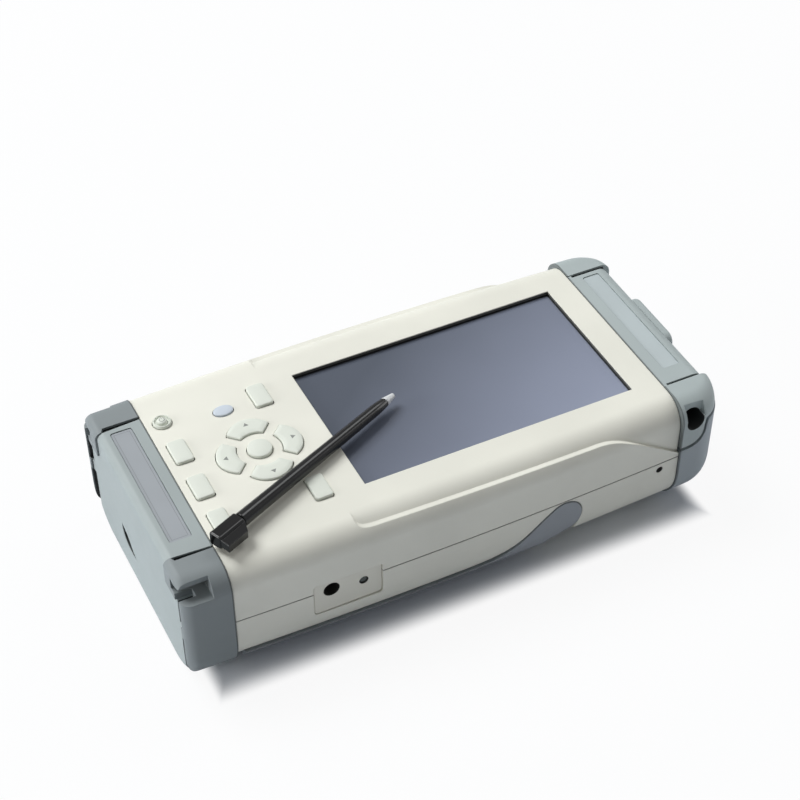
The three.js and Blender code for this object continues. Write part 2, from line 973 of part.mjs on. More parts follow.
// Side view of the stand, grown outwards to give the recess that it folds into
function standOutline(growEdge, growSide, growHeel) {
  const belowZ = shell.backZ - overrun;
  const earStart = rad(stand.earStartDeg);
  const radius = stand.earRadius + growSide;
  const shape = new THREE.Shape();
  shape.moveTo(stand.startX - growSide, belowZ);
  shape.lineTo(stand.startX - growSide, stand.edgeZ + growEdge);
  shape.lineTo(stand.straightEndX, stand.edgeZ + growEdge);
  shape.bezierCurveTo(
    stand.leadX, stand.edgeZ + growEdge, stand.pullX, stand.pullZ + growSide,
    stand.hingeX + radius * Math.cos(earStart), stand.hingeZ + radius * Math.sin(earStart),
  );
  shape.absarc(stand.hingeX, stand.hingeZ, radius, earStart, rad(stand.earEndDeg), true);
  shape.lineTo(stand.heelX + growHeel, stand.heelZ);
  shape.lineTo(stand.toeX + growHeel, stand.toeZ);
  shape.lineTo(stand.toeX + growHeel, belowZ);
  return shape;
}

const standReach = shell.halfWidth + overrun;
const coverHalf = battery.halfWidth + battery.wellClearance + battery.coverLap;
const openingHalf = coverHalf + stand.openingGap;
const standOpening = prismZ(
  roundedRect(stand.barEndX, stand.hingeX + overrun, -openingHalf, openingHalf, stand.openingRound),
  shell.backZ - overrun, shell.partingZ,
);

// What is kept from the ear's disc, so that it turns against a flat wall
function earCore(radius, innerY) {
  return rodY(-innerY, innerY, stand.hingeX, stand.hingeZ, radius, roundSides);
}

function standBody() {
  const fromX = stand.startX - overrun / 4;
  const toX = stand.hingeX + overrun;
  const outside = bowedBody(fromX, toX, {
    inset: -stand.proud,
    top: shell.topZ,
    bottom: stand.outerBackZ,
    topRound: shell.topRound,
    backRound: stand.outerRound,
  });
  const inside = bowedBody(fromX - overrun / 10, toX + overrun / 10, {
    inset: stand.sideDepth,
    top: shell.topZ + overrun,
    bottom: stand.innerBackZ,
    topRound: shell.topRound,
    backRound: stand.innerRound,
  });
  const outline = prismY(standOutline(0, 0, 0), -standReach, standReach, 0, wideArcSteps);
  return cut(outside.subtract(inside).intersect(outline), [
    standOpening,
    earCore(stand.earRadius + stand.earClearance, stand.earInnerY),
  ]);
}

// Pin places on both sides
const pinOuterY = stand.earInnerY + standPin.earBite;

function standPinBody(sign) {
  const [from, to] = [sign * standPin.innerY, sign * pinOuterY];
  return rodY(
    Math.min(from, to), Math.max(from, to), stand.hingeX, stand.hingeZ, standPin.radius, smallSides,
  );
}

function pinBore(sign, fromY, toY, play) {
  const [low, high] = [Math.min(sign * fromY, sign * toY), Math.max(sign * fromY, sign * toY)];
  return rodY(low, high, stand.hingeX, stand.hingeZ, standPin.radius + play, roundSides);
}

// Recess in the lower shell for the stand, also where it sweeps as it opens
function standRecess() {
  const fromX = stand.startX - overrun;
  const toX = stand.hingeX + overrun;
  const inside = bowedBody(fromX, toX, {
    inset: stand.sideDepth + stand.recessExtra,
    top: shell.topZ,
    bottom: stand.innerBackZ + stand.recessExtra,
    topRound: shell.topRound,
    backRound: stand.innerRound - stand.recessExtra,
  });
  const recessEdge = standOutline(stand.edgeGap, stand.sideGap, stand.heelGap);
  const full = prismY(recessEdge, -standReach, standReach, 0, wideArcSteps).subtract(inside);
  return full.subtract(prismZ(
    roundedRect(
      stand.barEndX + stand.sideGap, stand.hingeX + overrun,
      -openingHalf + stand.sideGap, openingHalf - stand.sideGap, stand.openingRound,
    ),
    shell.backZ - overrun, shell.partingZ,
  ));
}

// Room that the ends of the rails sweep through beside the hinge
function standRelief() {
  const railEnds = standRecess().intersect(box(
    stand.reliefFromX, stand.hingeX + overrun, -standReach, standReach, shell.backZ - overrun, stand.hingeZ,
  ));
  const relief = [];
  for (let turn = stand.reliefStepDeg; turn <= stand.maxOpenDeg; turn += stand.reliefStepDeg) {
    relief.push(openedStand(railEnds, turn));
  }
  return join(relief);
}

function earRecess() {
  const wallY = stand.earInnerY - stand.recessExtra;
  const radius = stand.earRadius + stand.earClearance;
  return join(sides.map(({ sign }) => {
    const [inner, outer] = [sign * wallY, sign * standReach];
    return rodY(
      Math.min(inner, outer), Math.max(inner, outer), stand.hingeX, stand.hingeZ, radius, roundSides,
    );
  }));
}

function openedStand(solid, degrees) {
  return solid
    .translate([-stand.hingeX, 0, -stand.hingeZ])
    .rotate([0, -degrees, 0])
    .translate([stand.hingeX, 0, stand.hingeZ]);
}

// Battery well, cover seat and screws
const wellFromX = battery.startX - battery.wellClearance;
const wellToX = battery.endX + battery.wellClearance;
const wellHalf = battery.halfWidth + battery.wellClearance;
const coverFromX = wellFromX - battery.coverLap;
const coverToX = wellToX + battery.coverTongue;
const coverTopZ = shell.backZ + battery.coverThickness;
const coverScrewX = coverToX - battery.screwInsetX;
const coverScrewPlaces = sides.map(({ word, sign }) => ({ word, x: coverScrewX, y: sign * battery.screwY }));
const coverScrewTopZ = shell.backZ + battery.screwLength;

function lowerCase() {
  const below = box(
    shell.startX - overrun, shell.endX + overrun, -shell.halfWidth - overrun, shell.halfWidth + overrun,
    shell.backZ - overrun, shell.partingZ - shell.partingGap / 2,
  );
  const shellHollow = cavity(shell.lowerWall);
  const tongue = cut(lipBody(0), [shellHollow]);
  const skin = shellOutside.intersect(below).subtract(shellHollow).add(tongue);
  const floorZ = shell.backZ + shell.lowerWall / 2;
  const screwBosses = screwPlaces.map(({ x, y }) => rodZ(
    floorZ, shell.partingZ, x, y, caseScrew.lowerBoss,
  ).intersect(shellOutside));
  const standoffs = [-1, 1].flatMap((sideX) => sides.map(({ sign }) => rodZ(
    floorZ, board.bottomZ, sideX * board.standoffX, sign * board.standoffY, board.standoffRadius,
  )));
  const pinBosses = sides.map(({ sign }) => {
    const [inner, outer] = [sign * standPin.bossInnerY, sign * (stand.earInnerY - stand.recessExtra)];
    return rodY(
      Math.min(inner, outer), Math.max(inner, outer),
      stand.hingeX, stand.hingeZ, standPin.bossRadius, smallSides,
    );
  });
  const wellRim = box(
    wellFromX - battery.wellWall, wellToX + battery.wellWall,
    -wellHalf - battery.wellWall, wellHalf + battery.wellWall,
    floorZ, shell.backZ + shell.lowerWall + battery.wellHeight,
  );
  const coverBosses = coverScrewPlaces.map(({ x, y }) => rodZ(
    floorZ, shell.backZ + shell.lowerWall + battery.screwBossHeight, x, y, battery.screwBoss,
  ));
  const body = join([skin, ...screwBosses, ...standoffs, ...pinBosses, wellRim, ...coverBosses]);

  const screwHoles = screwPlaces.flatMap(({ x, y }) => [
    rodZ(shell.backZ - overrun, shell.partingZ + overrun / 4, x, y, caseScrew.boreRadius),
    rodZ(
      shell.backZ - overrun, caseScrew.headZ + caseScrew.headThickness,
      x, y, caseScrew.headRadius + caseScrew.headClearance,
    ),
  ]);
  const coverScrewHoles = coverScrewPlaces.map(({ x, y }) => rodZ(
    shell.backZ, coverScrewTopZ + battery.screwClearance, x, y,
    battery.screwShankRadius + battery.screwClearance,
  ));
  const well = box(
    wellFromX, wellToX, -wellHalf, wellHalf,
    shell.backZ - overrun, shell.backZ + shell.lowerWall + battery.wellHeight + overrun / 10,
  );
  const coverSeat = prismZ(
    roundedRect(
      coverFromX - battery.coverGap, coverToX + battery.coverGap,
      -coverHalf - battery.coverGap, coverHalf + battery.coverGap, battery.coverRound,
    ),
    shell.backZ - overrun, coverTopZ,
  );
  const pinBores = sides.map(({ sign }) => pinBore(
    sign, standPin.bossInnerY - overrun / 10, stand.earInnerY, standPin.bossPlay,
  ));
  const resetCut = rodY(
    -shell.halfWidth - overrun, -halfWidthAt(resetHole.x) + resetHole.depth,
    resetHole.x, resetHole.z, resetHole.radius, smallSides,
  );
  return cut(body, [
    standRecess(), earRecess(), standRelief(), ...screwHoles, ...coverScrewHoles, well, coverSeat,
    ...pinBores, resetCut, panelHole, connectorBore,
  ]);
}

const standSolid = cut(standBody(), sides.map(({ sign }) => pinBore(
  sign, stand.earInnerY - overrun / 10, pinOuterY + standPin.earPlay, standPin.earPlay,
)));

addPiece('lower_case', lowerCase(), paleShell);
addPiece('tilt_stand', standSolid, greyStand);
for (const { word, sign } of sides) addPiece(`stand_pin_${word}`, standPinBody(sign), steel);

for (const { word, x, y } of screwPlaces) {
  const headTopZ = caseScrew.headZ + caseScrew.headThickness;
  const head = rodZ(caseScrew.headZ, headTopZ, x, y, caseScrew.headRadius);
  const headMidZ = caseScrew.headZ + caseScrew.headThickness / 2;
  const shank = rodZ(headMidZ, caseScrew.shankTopZ, x, y, caseScrew.shankRadius);
  const socket = rodZ(caseScrew.headZ - overrun, headMidZ, x, y, caseScrew.shankRadius, hexSides);
  addPiece(`case_screw_${word}`, head.add(shank).subtract(socket), steel);
}

// Battery, cover and cover screws
addPiece('battery_pack', prismZ(
  roundedRect(battery.startX, battery.endX, -battery.halfWidth, battery.halfWidth, battery.round),
  coverTopZ, coverTopZ + battery.height, battery.bevel,
), blackPlastic);

function batteryCover() {
  const plate = prismZ(
    roundedRect(coverFromX, coverToX, -coverHalf, coverHalf, battery.coverRound), shell.backZ, coverTopZ,
  );
  const holes = coverScrewPlaces.flatMap(({ x, y }) => [
    rodZ(
      shell.backZ - overrun / 10, coverTopZ + overrun / 10,
      x, y, battery.screwShankRadius + battery.screwClearance,
    ),
    rodZ(
      shell.backZ - overrun / 10, shell.backZ + battery.screwHeadThickness,
      x, y, battery.screwHeadRadius + battery.screwClearance,
    ),
  ]);
  return cut(plate, holes);
}

addPiece('battery_cover', batteryCover(), paleShell);
for (const { word, x, y } of coverScrewPlaces) {
  const head = rodZ(shell.backZ, shell.backZ + battery.screwHeadThickness, x, y, battery.screwHeadRadius);
  const shank = rodZ(
    shell.backZ + battery.screwHeadThickness / 2, coverScrewTopZ, x, y, battery.screwShankRadius,
  );
  addPiece(`cover_screw_${word}`, head.add(shank), steel);
}

// Screen stack
const gasketTopZ = cavityTopZ + screen.seatRise;
const gasketBottomZ = gasketTopZ - screen.gasketThickness;
const glassBottomZ = gasketBottomZ - screen.glassThickness;
const lcdBottomZ = glassBottomZ - screen.lcdThickness;
const bracketBottomZ = lcdBottomZ - screen.bracketThickness;

addPiece('display_gasket', screenPlate(
  screen.glassMargin, screen.glassMargin, gasketBottomZ, gasketTopZ,
).subtract(screenPlate(
  screen.gasketSetback, screen.gasketSetback, gasketBottomZ - overrun, gasketTopZ + overrun,
)), footRubber);
addPiece('touch_glass', screenPlate(
  screen.glassMargin, screen.glassMargin, glassBottomZ, gasketBottomZ,
), glassDark);
addPiece('lcd_module', screenPlate(
  screen.lcdMarginX, screen.lcdMarginY, lcdBottomZ, glassBottomZ,
), steel);
addPiece('lcd_bracket', screenPlate(
  screen.lcdMarginX, screen.lcdMarginY, bracketBottomZ, lcdBottomZ,
).subtract(screenPlate(
  -screen.bracketRim, -screen.bracketRim, bracketBottomZ - overrun, lcdBottomZ + overrun,
)), steel);

// Keypad mat and contact board
addPiece('keypad_mat', box(
  keypad.startX, keypad.endX, -keypad.halfWidth, keypad.halfWidth, matBottomZ, matTopZ,
), whitePlastic);
addPiece('keypad_board', box(
  keypad.startX, keypad.endX, -keypad.halfWidth, keypad.halfWidth,
  matBottomZ - keypad.boardThickness, matBottomZ,
), boardGreen);

// Main board, shield can and sounder
const boardTopZ = board.bottomZ + board.thickness;
addPiece('main_board', box(
  board.startX, board.endX, -board.halfWidth, board.halfWidth, board.bottomZ, boardTopZ,
), boardGreen);
addPiece('rf_shield_can', box(
  board.canStartX, board.canEndX, -board.canHalfWidth, board.canHalfWidth,
  boardTopZ, boardTopZ + board.canHeight,
).subtract(box(
  board.canStartX + board.canWall, board.canEndX - board.canWall,
  -board.canHalfWidth + board.canWall, board.canHalfWidth - board.canWall,
  boardTopZ - overrun, boardTopZ + board.canHeight - board.canWall,
)), steel);
addPiece('sounder', rodZ(
  board.bottomZ - board.sounderHeight, board.bottomZ,
  board.sounderX, board.sounderY, board.sounderRadius, roundSides,
).subtract(rodZ(
  board.bottomZ - board.sounderHeight - overrun, board.bottomZ - board.sounderHeight / 2,
  board.sounderX, board.sounderY, board.sounderHole,
)), blackPlastic);

// Feet under the end caps, in shallow pockets
const footPlaces = [['left', foot.leftX], ['right', foot.rightX]].flatMap(
  ([end, x]) => sides.map(({ word, sign }) => ({ name: `foot_${end}_${word}`, x, y: sign * foot.y })),
);
function footBlock({ x, y }, grow, fromZ) {
  return box(
    x - foot.halfWidth - grow, x + foot.halfWidth + grow,
    y - foot.halfLength - grow, y + foot.halfLength + grow, fromZ, foot.height,
  );
}
const footPockets = footPlaces.map((place) => footBlock(place, foot.pocketGap, cap.bottomZ - overrun));
for (const place of footPlaces) addPiece(place.name, footBlock(place, 0, 0), footRubber);

// Label recess in a cap's face and the bare plate that lies in it
function labelBlock(place, grow, fromZ, toZ) {
  return prismZ(
    roundedRect(
      place.labelFromX - grow, place.labelToX + grow,
      place.labelFromY - grow, place.labelToY + grow, label.round,
    ),
    fromZ, toZ,
  );
}
const labelFloorZ = shell.topZ - label.recess;
const labelPlateTopZ = labelFloorZ + label.thickness;

// Bottom cap: core, and guards at its two corners with strap slots
function guardRegion(sign, innerY, fromX, toX) {
  const outY = shell.halfWidth + overrun;
  return prismX([
    [sign * innerY, shell.topZ + overrun],
    [sign * innerY, bottomCap.shoulderZ],
    [sign * bottomCap.flankY, bottomCap.shoulderZ],
    [sign * bottomCap.flankY, -overrun],
    [sign * outY, -overrun],
    [sign * outY, shell.topZ + overrun],
  ], fromX, toX);
}

function sideBox(sign, fromX, toX, innerY, outerY, fromZ, toZ) {
  const [low, high] = [Math.min(sign * innerY, sign * outerY), Math.max(sign * innerY, sign * outerY)];
  return box(fromX, toX, low, high, fromZ, toZ);
}

const bottomSeamX = shell.startX - cap.seam;
const bottomFarX = bottomCap.guardEndX - overrun;
const slits = sides.flatMap(({ sign }) => [
  [bottomCap.slitLowFromZ, bottomCap.slitLowToZ],
  [bottomCap.slitHighFromZ, bottomCap.slitHighToZ],
].map(([fromZ, toZ]) => sideBox(
  sign, bottomFarX, bottomCap.guardEndX + bottomCap.slitDepth,
  bottomCap.slitY - bottomCap.slitWidth / 2, bottomCap.slitY + bottomCap.slitWidth / 2, fromZ, toZ,
)));

function endGroove() {
  const { grooveCentreY: y, grooveCentreZ: z, grooveRadius: radius, grooveWidth: width } = bottomCap;
  const [from, to] = [rad(bottomCap.grooveFromDeg), rad(bottomCap.grooveToDeg)];
  const at = (share, side) => {
    const turn = from + (to - from) * share;
    const swell = Math.sin(Math.PI * share ** (1 / bottomCap.grooveTaperShare));
    const reach = radius + side * width * swell / 2;
    return [y + reach * Math.cos(turn), z + reach * Math.sin(turn)];
  };
  const shares = Array.from({ length: bottomCap.groovePoints + 1 }, (_, i) => i / bottomCap.groovePoints);
  const outer = shares.map((share) => at(share, 1));
  const inner = shares.slice(1, -1).reverse().map((share) => at(share, -1));
  return prismX([...outer, ...inner], bottomFarX, bottomCap.endX + bottomCap.grooveDepth);
}

function bottomEndCap() {
  const body = cappedBody(bottomSeamX, bottomCap.endX, bottomCap, 0);
  const coreInnerY = bottomCap.shoulderY - bottomCap.slotWidth;
  return cut(body, [
    ...sides.map(({ sign }) => guardRegion(sign, coreInnerY, bottomFarX, bottomSeamX + overrun)),
    ...slits, ...footPockets, endGroove(),
    labelBlock(bottomCap, label.gap, labelFloorZ, shell.topZ + overrun),
  ]);
}

function bottomGuard(sign) {
  const body = cappedBody(bottomSeamX, bottomCap.guardEndX, bottomCap, cap.guardProud);
  const outY = shell.halfWidth + overrun;
  return cut(body.intersect(guardRegion(sign, bottomCap.shoulderY, bottomFarX, bottomSeamX)), [
    ...slits,
    sideBox(
      sign, bottomCap.strapFromX, bottomCap.strapToX, bottomCap.strapOpenY, outY,
      bottomCap.strapFloorZ, shell.topZ + overrun,
    ),
    sideBox(
      sign, bottomCap.strapFromX, bottomCap.strapToX, bottomCap.strapInnerY, outY,
      bottomCap.strapFloorZ, bottomCap.strapRoofZ,
    ),
  ]);
}

addPiece('bottom_end_cap', bottomEndCap(), greyCap);
for (const { word, sign } of sides) addPiece(`bottom_guard_${word}`, bottomGuard(sign), greyGuard);
addPiece('bottom_label_plate', labelBlock(bottomCap, 0, labelFloorZ, labelPlateTopZ), labelGrey);

// Top cap: core, guards that sweep up to the end, stylus bore and connector recess
const topSeamX = shell.endX + cap.seam;

function topGuardRegion(sign, gap, fromX) {
  const radius = topCap.guardRadius - gap;
  const outX = topCap.guardEndX + overrun;
  const shape = new THREE.Shape();
  shape.moveTo(fromX, -overrun);
  shape.lineTo(fromX, topCap.guardArcZ - radius);
  shape.lineTo(topCap.guardStepX, topCap.guardArcZ - radius);
  shape.absarc(topCap.guardStepX, topCap.guardArcZ, radius, -quarter, 0, false);
  shape.lineTo(topCap.guardRiseX - gap, topCap.guardRiseZ + gap);
  shape.lineTo(topCap.endX + overrun / 10, topCap.guardTopZ + gap);
  shape.lineTo(outX, topCap.guardTopZ + gap);
  shape.lineTo(outX, -overrun);
  const [inner, outer] = [sign * topCap.guardY, sign * (shell.halfWidth + overrun)];
  return prismY(shape, Math.min(inner, outer), Math.max(inner, outer), 0, arcSteps);
}

function hoodOutline(grow) {
  return roundedRect(
    hood.fromY - grow, hood.toY + grow, hood.fromZ - grow, hood.toZ + grow, hood.round + grow,
  );
}

// Outer form of the guards and of the lobes above them
const topProudBody = cappedBody(topSeamX, topCap.guardEndX, topCap, cap.guardProud);

function topEndCap() {
  const outY = shell.halfWidth + overrun;
  const lobeInnerY = topCap.slotY + topCap.slotWidth / 2;
  const between = box(
    topSeamX - overrun, topCap.guardEndX + overrun, -lobeInnerY, lobeInnerY, -overrun, shell.topZ + overrun,
  );
  const body = cappedBody(topSeamX, topCap.endX, topCap, 0).add(topProudBody.subtract(between));
  const topSlots = sides.map(({ sign }) => sideBox(
    sign, topCap.slotFromX, topCap.slotToX,
    topCap.slotY - topCap.slotWidth / 2, topCap.slotY + topCap.slotWidth / 2,
    shell.topZ - topCap.slotDepth, shell.topZ + overrun,
  ));
  return cut(body, [
    ...sides.map(({ sign }) => topGuardRegion(sign, topCap.guardGroove, topSeamX - overrun)),
    ...topSlots, ...footPockets,
    labelBlock(topCap, label.gap, labelFloorZ, shell.topZ + overrun),
    rodY(-outY, garage.depthY, garage.x, garage.z, garage.radius),
    box(garage.lugFromX, garage.lugToX, -outY, -garage.lugInnerY, garage.lugFromZ, garage.lugToZ),
    rodX(
      connector.recessFloorX, topCap.endX + overrun, connector.y, connector.z, connector.recessRadius,
    ),
    rodX(
      topSeamX - overrun / 10, connector.recessFloorX + overrun / 10,
      connector.y, connector.z, connector.bodyRadius + connector.boreClearance,
    ),
    prismX(hoodOutline(hood.clearance), hood.seatX, topCap.endX + overrun),
  ]);
}

function topGuard(sign) {
  return topProudBody.intersect(topGuardRegion(sign, 0, topSeamX));
}

addPiece('top_end_cap', topEndCap(), greyCap);
for (const { word, sign } of sides) addPiece(`top_guard_${word}`, topGuard(sign), greyGuard);
addPiece('top_label_plate', labelBlock(topCap, 0, labelFloorZ, labelPlateTopZ), labelGrey);

// Hood round the connector, bevelled on its open face
addPiece('connector_hood', prismX(
  hoodOutline(0), hood.seatX - 2 * hood.bevel, hood.endX, hood.bevel, wideArcSteps,
).intersect(box(
  hood.seatX, hood.endX + overrun, hood.fromY, hood.toY, hood.fromZ, hood.toZ,
)).subtract(rodX(
  hood.seatX - overrun, hood.endX + overrun, connector.y, connector.z, connector.recessRadius,
)), greyCap);

// Signal connector: body with its cup, nut and insulator
const connectorAt = [connector.y, connector.z];
addPiece('rf_connector_body', rodX(
  connector.flangeFromX, connector.flangeToX, ...connectorAt, connector.flangeRadius,
).add(rodX(
  (connector.flangeFromX + connector.flangeToX) / 2, connector.bodyEndX, ...connectorAt, connector.bodyRadius,
)).subtract(rodX(
  connector.cupFloorX, connector.bodyEndX + overrun, ...connectorAt, connector.cupRadius,
)), brass);
addPiece('rf_connector_nut', rodX(
  connector.recessFloorX, connector.recessFloorX + connector.nutThickness,
  ...connectorAt, connector.nutRadius, hexSides,
).subtract(rodX(
  connector.recessFloorX - overrun, connector.recessFloorX + overrun,
  ...connectorAt, connector.bodyRadius + connector.nutClearance,
)), brass);
addPiece('rf_connector_insert', rodX(
  connector.cupFloorX, connector.insertEndX, ...connectorAt, connector.insertRadius, smallSides,
).subtract(rodX(
  connector.insertEndX - connector.contactDepth, connector.insertEndX + overrun,
  ...connectorAt, connector.contactRadius, smallSides,
)), whitePlastic);

// Charger panel with its inner flange
const panelInnerY = -(panel.faceY - panel.thickness);
const panelBackY = panelInnerY + panel.flangeThickness;

function socketPanel() {
  const plate = prismY(
    roundedRect(panel.fromX, panel.toX, panel.fromZ, panel.toZ, panel.round), -panel.faceY, panelInnerY,
  );
  const flange = prismY(
    roundedRect(
      panel.fromX - panel.flangeMargin, panel.toX + panel.flangeMargin,
      panel.fromZ - panel.flangeMargin / 2, panel.toZ + panel.flangeMargin, panel.round,
    ),
    panelInnerY, panelBackY,
  );
  return cut(plate.add(flange), [
    rodY(-panel.faceY - overrun, panelBackY + overrun, panel.chargeX, panel.chargeZ, panel.chargeRadius),
    rodY(-panel.faceY - overrun, panelBackY + overrun, panel.lightX, panel.lightZ, panel.lightRadius),
  ]);
}

function chargerSocket() {
  const endY = panelBackY + dcSocket.depth;
  const shellBlock = box(
    panel.chargeX - dcSocket.halfWidth, panel.chargeX + dcSocket.halfWidth,
    panelBackY, endY, board.bottomZ - dcSocket.height, board.bottomZ,
  );
  const bore = rodY(
    panelBackY - overrun, panelBackY + dcSocket.boreDepth, panel.chargeX, panel.chargeZ, dcSocket.boreRadius,
  );
  const pin = rodY(
    panelBackY + dcSocket.pinShort, endY - dcSocket.pinShort / 2,
    panel.chargeX, panel.chargeZ, dcSocket.pinRadius, smallSides,
  );
  return shellBlock.subtract(bore).add(pin);
}

function chargeLight() {
  const rod = rodY(
    -panel.faceY + lightGuide.sunk, -lightGuide.innerY + lightGuide.blockHalf,
    panel.lightX, panel.lightZ, lightGuide.radius, smallSides,
  );
  const block = box(
    panel.lightX - lightGuide.blockHalf, panel.lightX + lightGuide.blockHalf,
    -lightGuide.innerY, -lightGuide.blockInnerY,
    panel.lightZ - lightGuide.radius - lightGuide.blockBelow, board.bottomZ,
  );
  return rod.add(block);
}

addPiece('side_socket_panel', socketPanel(), labelGrey);
addPiece('dc_socket', chargerSocket(), blackPlastic);
addPiece('charge_light_guide', chargeLight(), clearPlastic);

// Stylus: head with its lug, tapering barrel and pale tip, built along its own axis
const tail = new THREE.Vector3(stylus.tailX, stylus.tailY, stylus.tailZ);
const run = new THREE.Vector3(stylus.tipX, stylus.tipY, stylus.tipZ).sub(tail);
const stylusLength = run.length();
const tipStart = stylusLength - stylus.tipLength;
const socketRadius = stylus.spigotRadius + stylus.jointGap;

const heading = new THREE.Group();
heading.position.copy(tail);
heading.rotation.z = Math.atan2(run.y, run.x);
const slope = new THREE.Group();
slope.rotation.y = -Math.atan2(run.z, Math.hypot(run.x, run.y));
heading.add(slope);
group.add(heading);

function turnedAlongX(profile, sideCount) {
  const geometry = new THREE.LatheGeometry(
    profile.map(([along, radius]) => new THREE.Vector2(radius, along)), sideCount,
  );
  geometry.rotateZ(-quarter);
  return toSolid(geometry);
}

function stylusHead() {
  const half = stylus.headHalf;
  const block = prismX(
    roundedRect(-half, half, -half, half, stylus.headRound), 0, stylus.headLength, stylus.headBevel,
  );
  const lug = prismZ([
    [0, -stylus.lugBase],
    [0, -stylus.lugReach],
    [stylus.lugLength, -stylus.lugReach],
    [stylus.lugLength + stylus.headHalf, -stylus.lugReach + stylus.lugTaper],
    [stylus.headLength, -stylus.lugBase],
  ], -stylus.lugLow, stylus.lugHigh);
  const socketFrom = stylus.headLength - stylus.headSocket;
  const socket = rodX(socketFrom, stylus.headLength + overrun, 0, 0, socketRadius, smallSides);
  return block.add(lug).subtract(socket);
}

function stylusBarrel() {
  const from = stylus.headLength + stylus.jointGap;
  const spigotFrom = stylus.headLength - stylus.headSocket + stylus.jointGap;
  const body = turnedAlongX([
    [spigotFrom, 0],
    [spigotFrom, stylus.spigotRadius],
    [from, stylus.spigotRadius],
    [from, stylus.barrelRadius],
    [tipStart - stylus.noseLength, stylus.barrelTaperRadius],
    [tipStart, stylus.tipRadius],
    [tipStart, 0],
  ], smallSides);
  return body.subtract(rodX(
    tipStart - stylus.spigotLength - stylus.jointGap, tipStart + overrun, 0, 0, socketRadius, smallSides,
  ));
}

function stylusTip() {
  const from = tipStart + stylus.jointGap;
  return turnedAlongX([
    [tipStart - stylus.spigotLength, 0],
    [tipStart - stylus.spigotLength, stylus.spigotRadius],
    [from, stylus.spigotRadius],
    [from, stylus.tipRadius],
    [stylusLength - stylus.tipEndRadius / 2, stylus.tipEndRadius],
    [stylusLength, stylus.tipEndRadius / 2],
    [stylusLength, 0],
  ], smallSides);
}

addPiece('stylus_head', stylusHead(), blackPlastic, slope);
addPiece('stylus_barrel', stylusBarrel(), blackPlastic, slope);
addPiece('stylus_tip', stylusTip(), silver, slope);

export default group;
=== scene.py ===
"""Handheld spectrum analyzer on a white table: fine surfaces, finishes, camera and light."""

import json
import logging
import math
from collections.abc import Callable
from dataclasses import dataclass, field, replace
from enum import Enum
from functools import cached_property
from typing import Union

import bmesh
import bpy
import numpy as np
from mathutils import Matrix, Vector


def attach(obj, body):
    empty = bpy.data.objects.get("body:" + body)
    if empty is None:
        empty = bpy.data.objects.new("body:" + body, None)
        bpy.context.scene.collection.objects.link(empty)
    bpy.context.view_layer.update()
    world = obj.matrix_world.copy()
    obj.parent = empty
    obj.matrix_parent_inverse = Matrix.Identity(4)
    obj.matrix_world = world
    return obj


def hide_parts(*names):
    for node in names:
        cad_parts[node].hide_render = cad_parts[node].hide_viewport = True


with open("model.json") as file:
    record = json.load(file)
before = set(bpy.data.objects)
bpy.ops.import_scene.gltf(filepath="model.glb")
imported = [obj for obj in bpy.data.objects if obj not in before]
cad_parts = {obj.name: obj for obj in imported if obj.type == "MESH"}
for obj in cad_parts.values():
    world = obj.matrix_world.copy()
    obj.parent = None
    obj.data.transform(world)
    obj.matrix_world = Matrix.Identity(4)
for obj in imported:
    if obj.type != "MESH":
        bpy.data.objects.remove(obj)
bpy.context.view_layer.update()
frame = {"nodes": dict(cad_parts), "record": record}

MM = 0.001
SIDES = (("near", -1), ("far", 1))
LOG = logging.getLogger("analyzer")

# Sizes and places that several sub-assemblies share, in millimetres
HALF_WIDTH, BOW_CENTRE, BOW_RADIUS = 46.7, -10.0, 2000.0
CASE_TOP, EDGE_ROUND = 47.8, 8.0
CLUSTER_AT, POWER_AT = (-52.0, 0.6), (-75.4, 26.0)
CONNECTOR_AT, STYLUS_BORE_AT = (1.7, 30.8), (84.2, 40.9)

# Places well outside the instrument, in millimetres, to which cuts reach
PAST_END, PAST_SIDE, PAST_BACK, PAST_TOP = 117.0, 66.7, -20.0, 68.0
ANYWHERE = (-PAST_END, PAST_END)

Pair = tuple[float, float]
Colour = tuple[float, float, float]
Point = tuple[float, float, float]
Array = np.ndarray
Number = Union[float, "Wire"]


class Axis(Enum):
    """The axes, with their places in a point."""

    X = 0
    Y = 1
    Z = 2


def srgb(red: int, green: int, blue: int) -> Colour:
    """Turn a colour as seen on a screen into the linear values that shaders use.

    Args:
        red: Red from 0 to 255.
        green: Green from 0 to 255.
        blue: Blue from 0 to 255.

    Returns:
        The three linear values, each from 0 to 1.
    """
    shares = (red / 255, green / 255, blue / 255)
    return tuple(((c + 0.055) / 1.055) ** 2.4 if c > 0.04045 else c / 12.92 for c in shares)


# Shader graphs


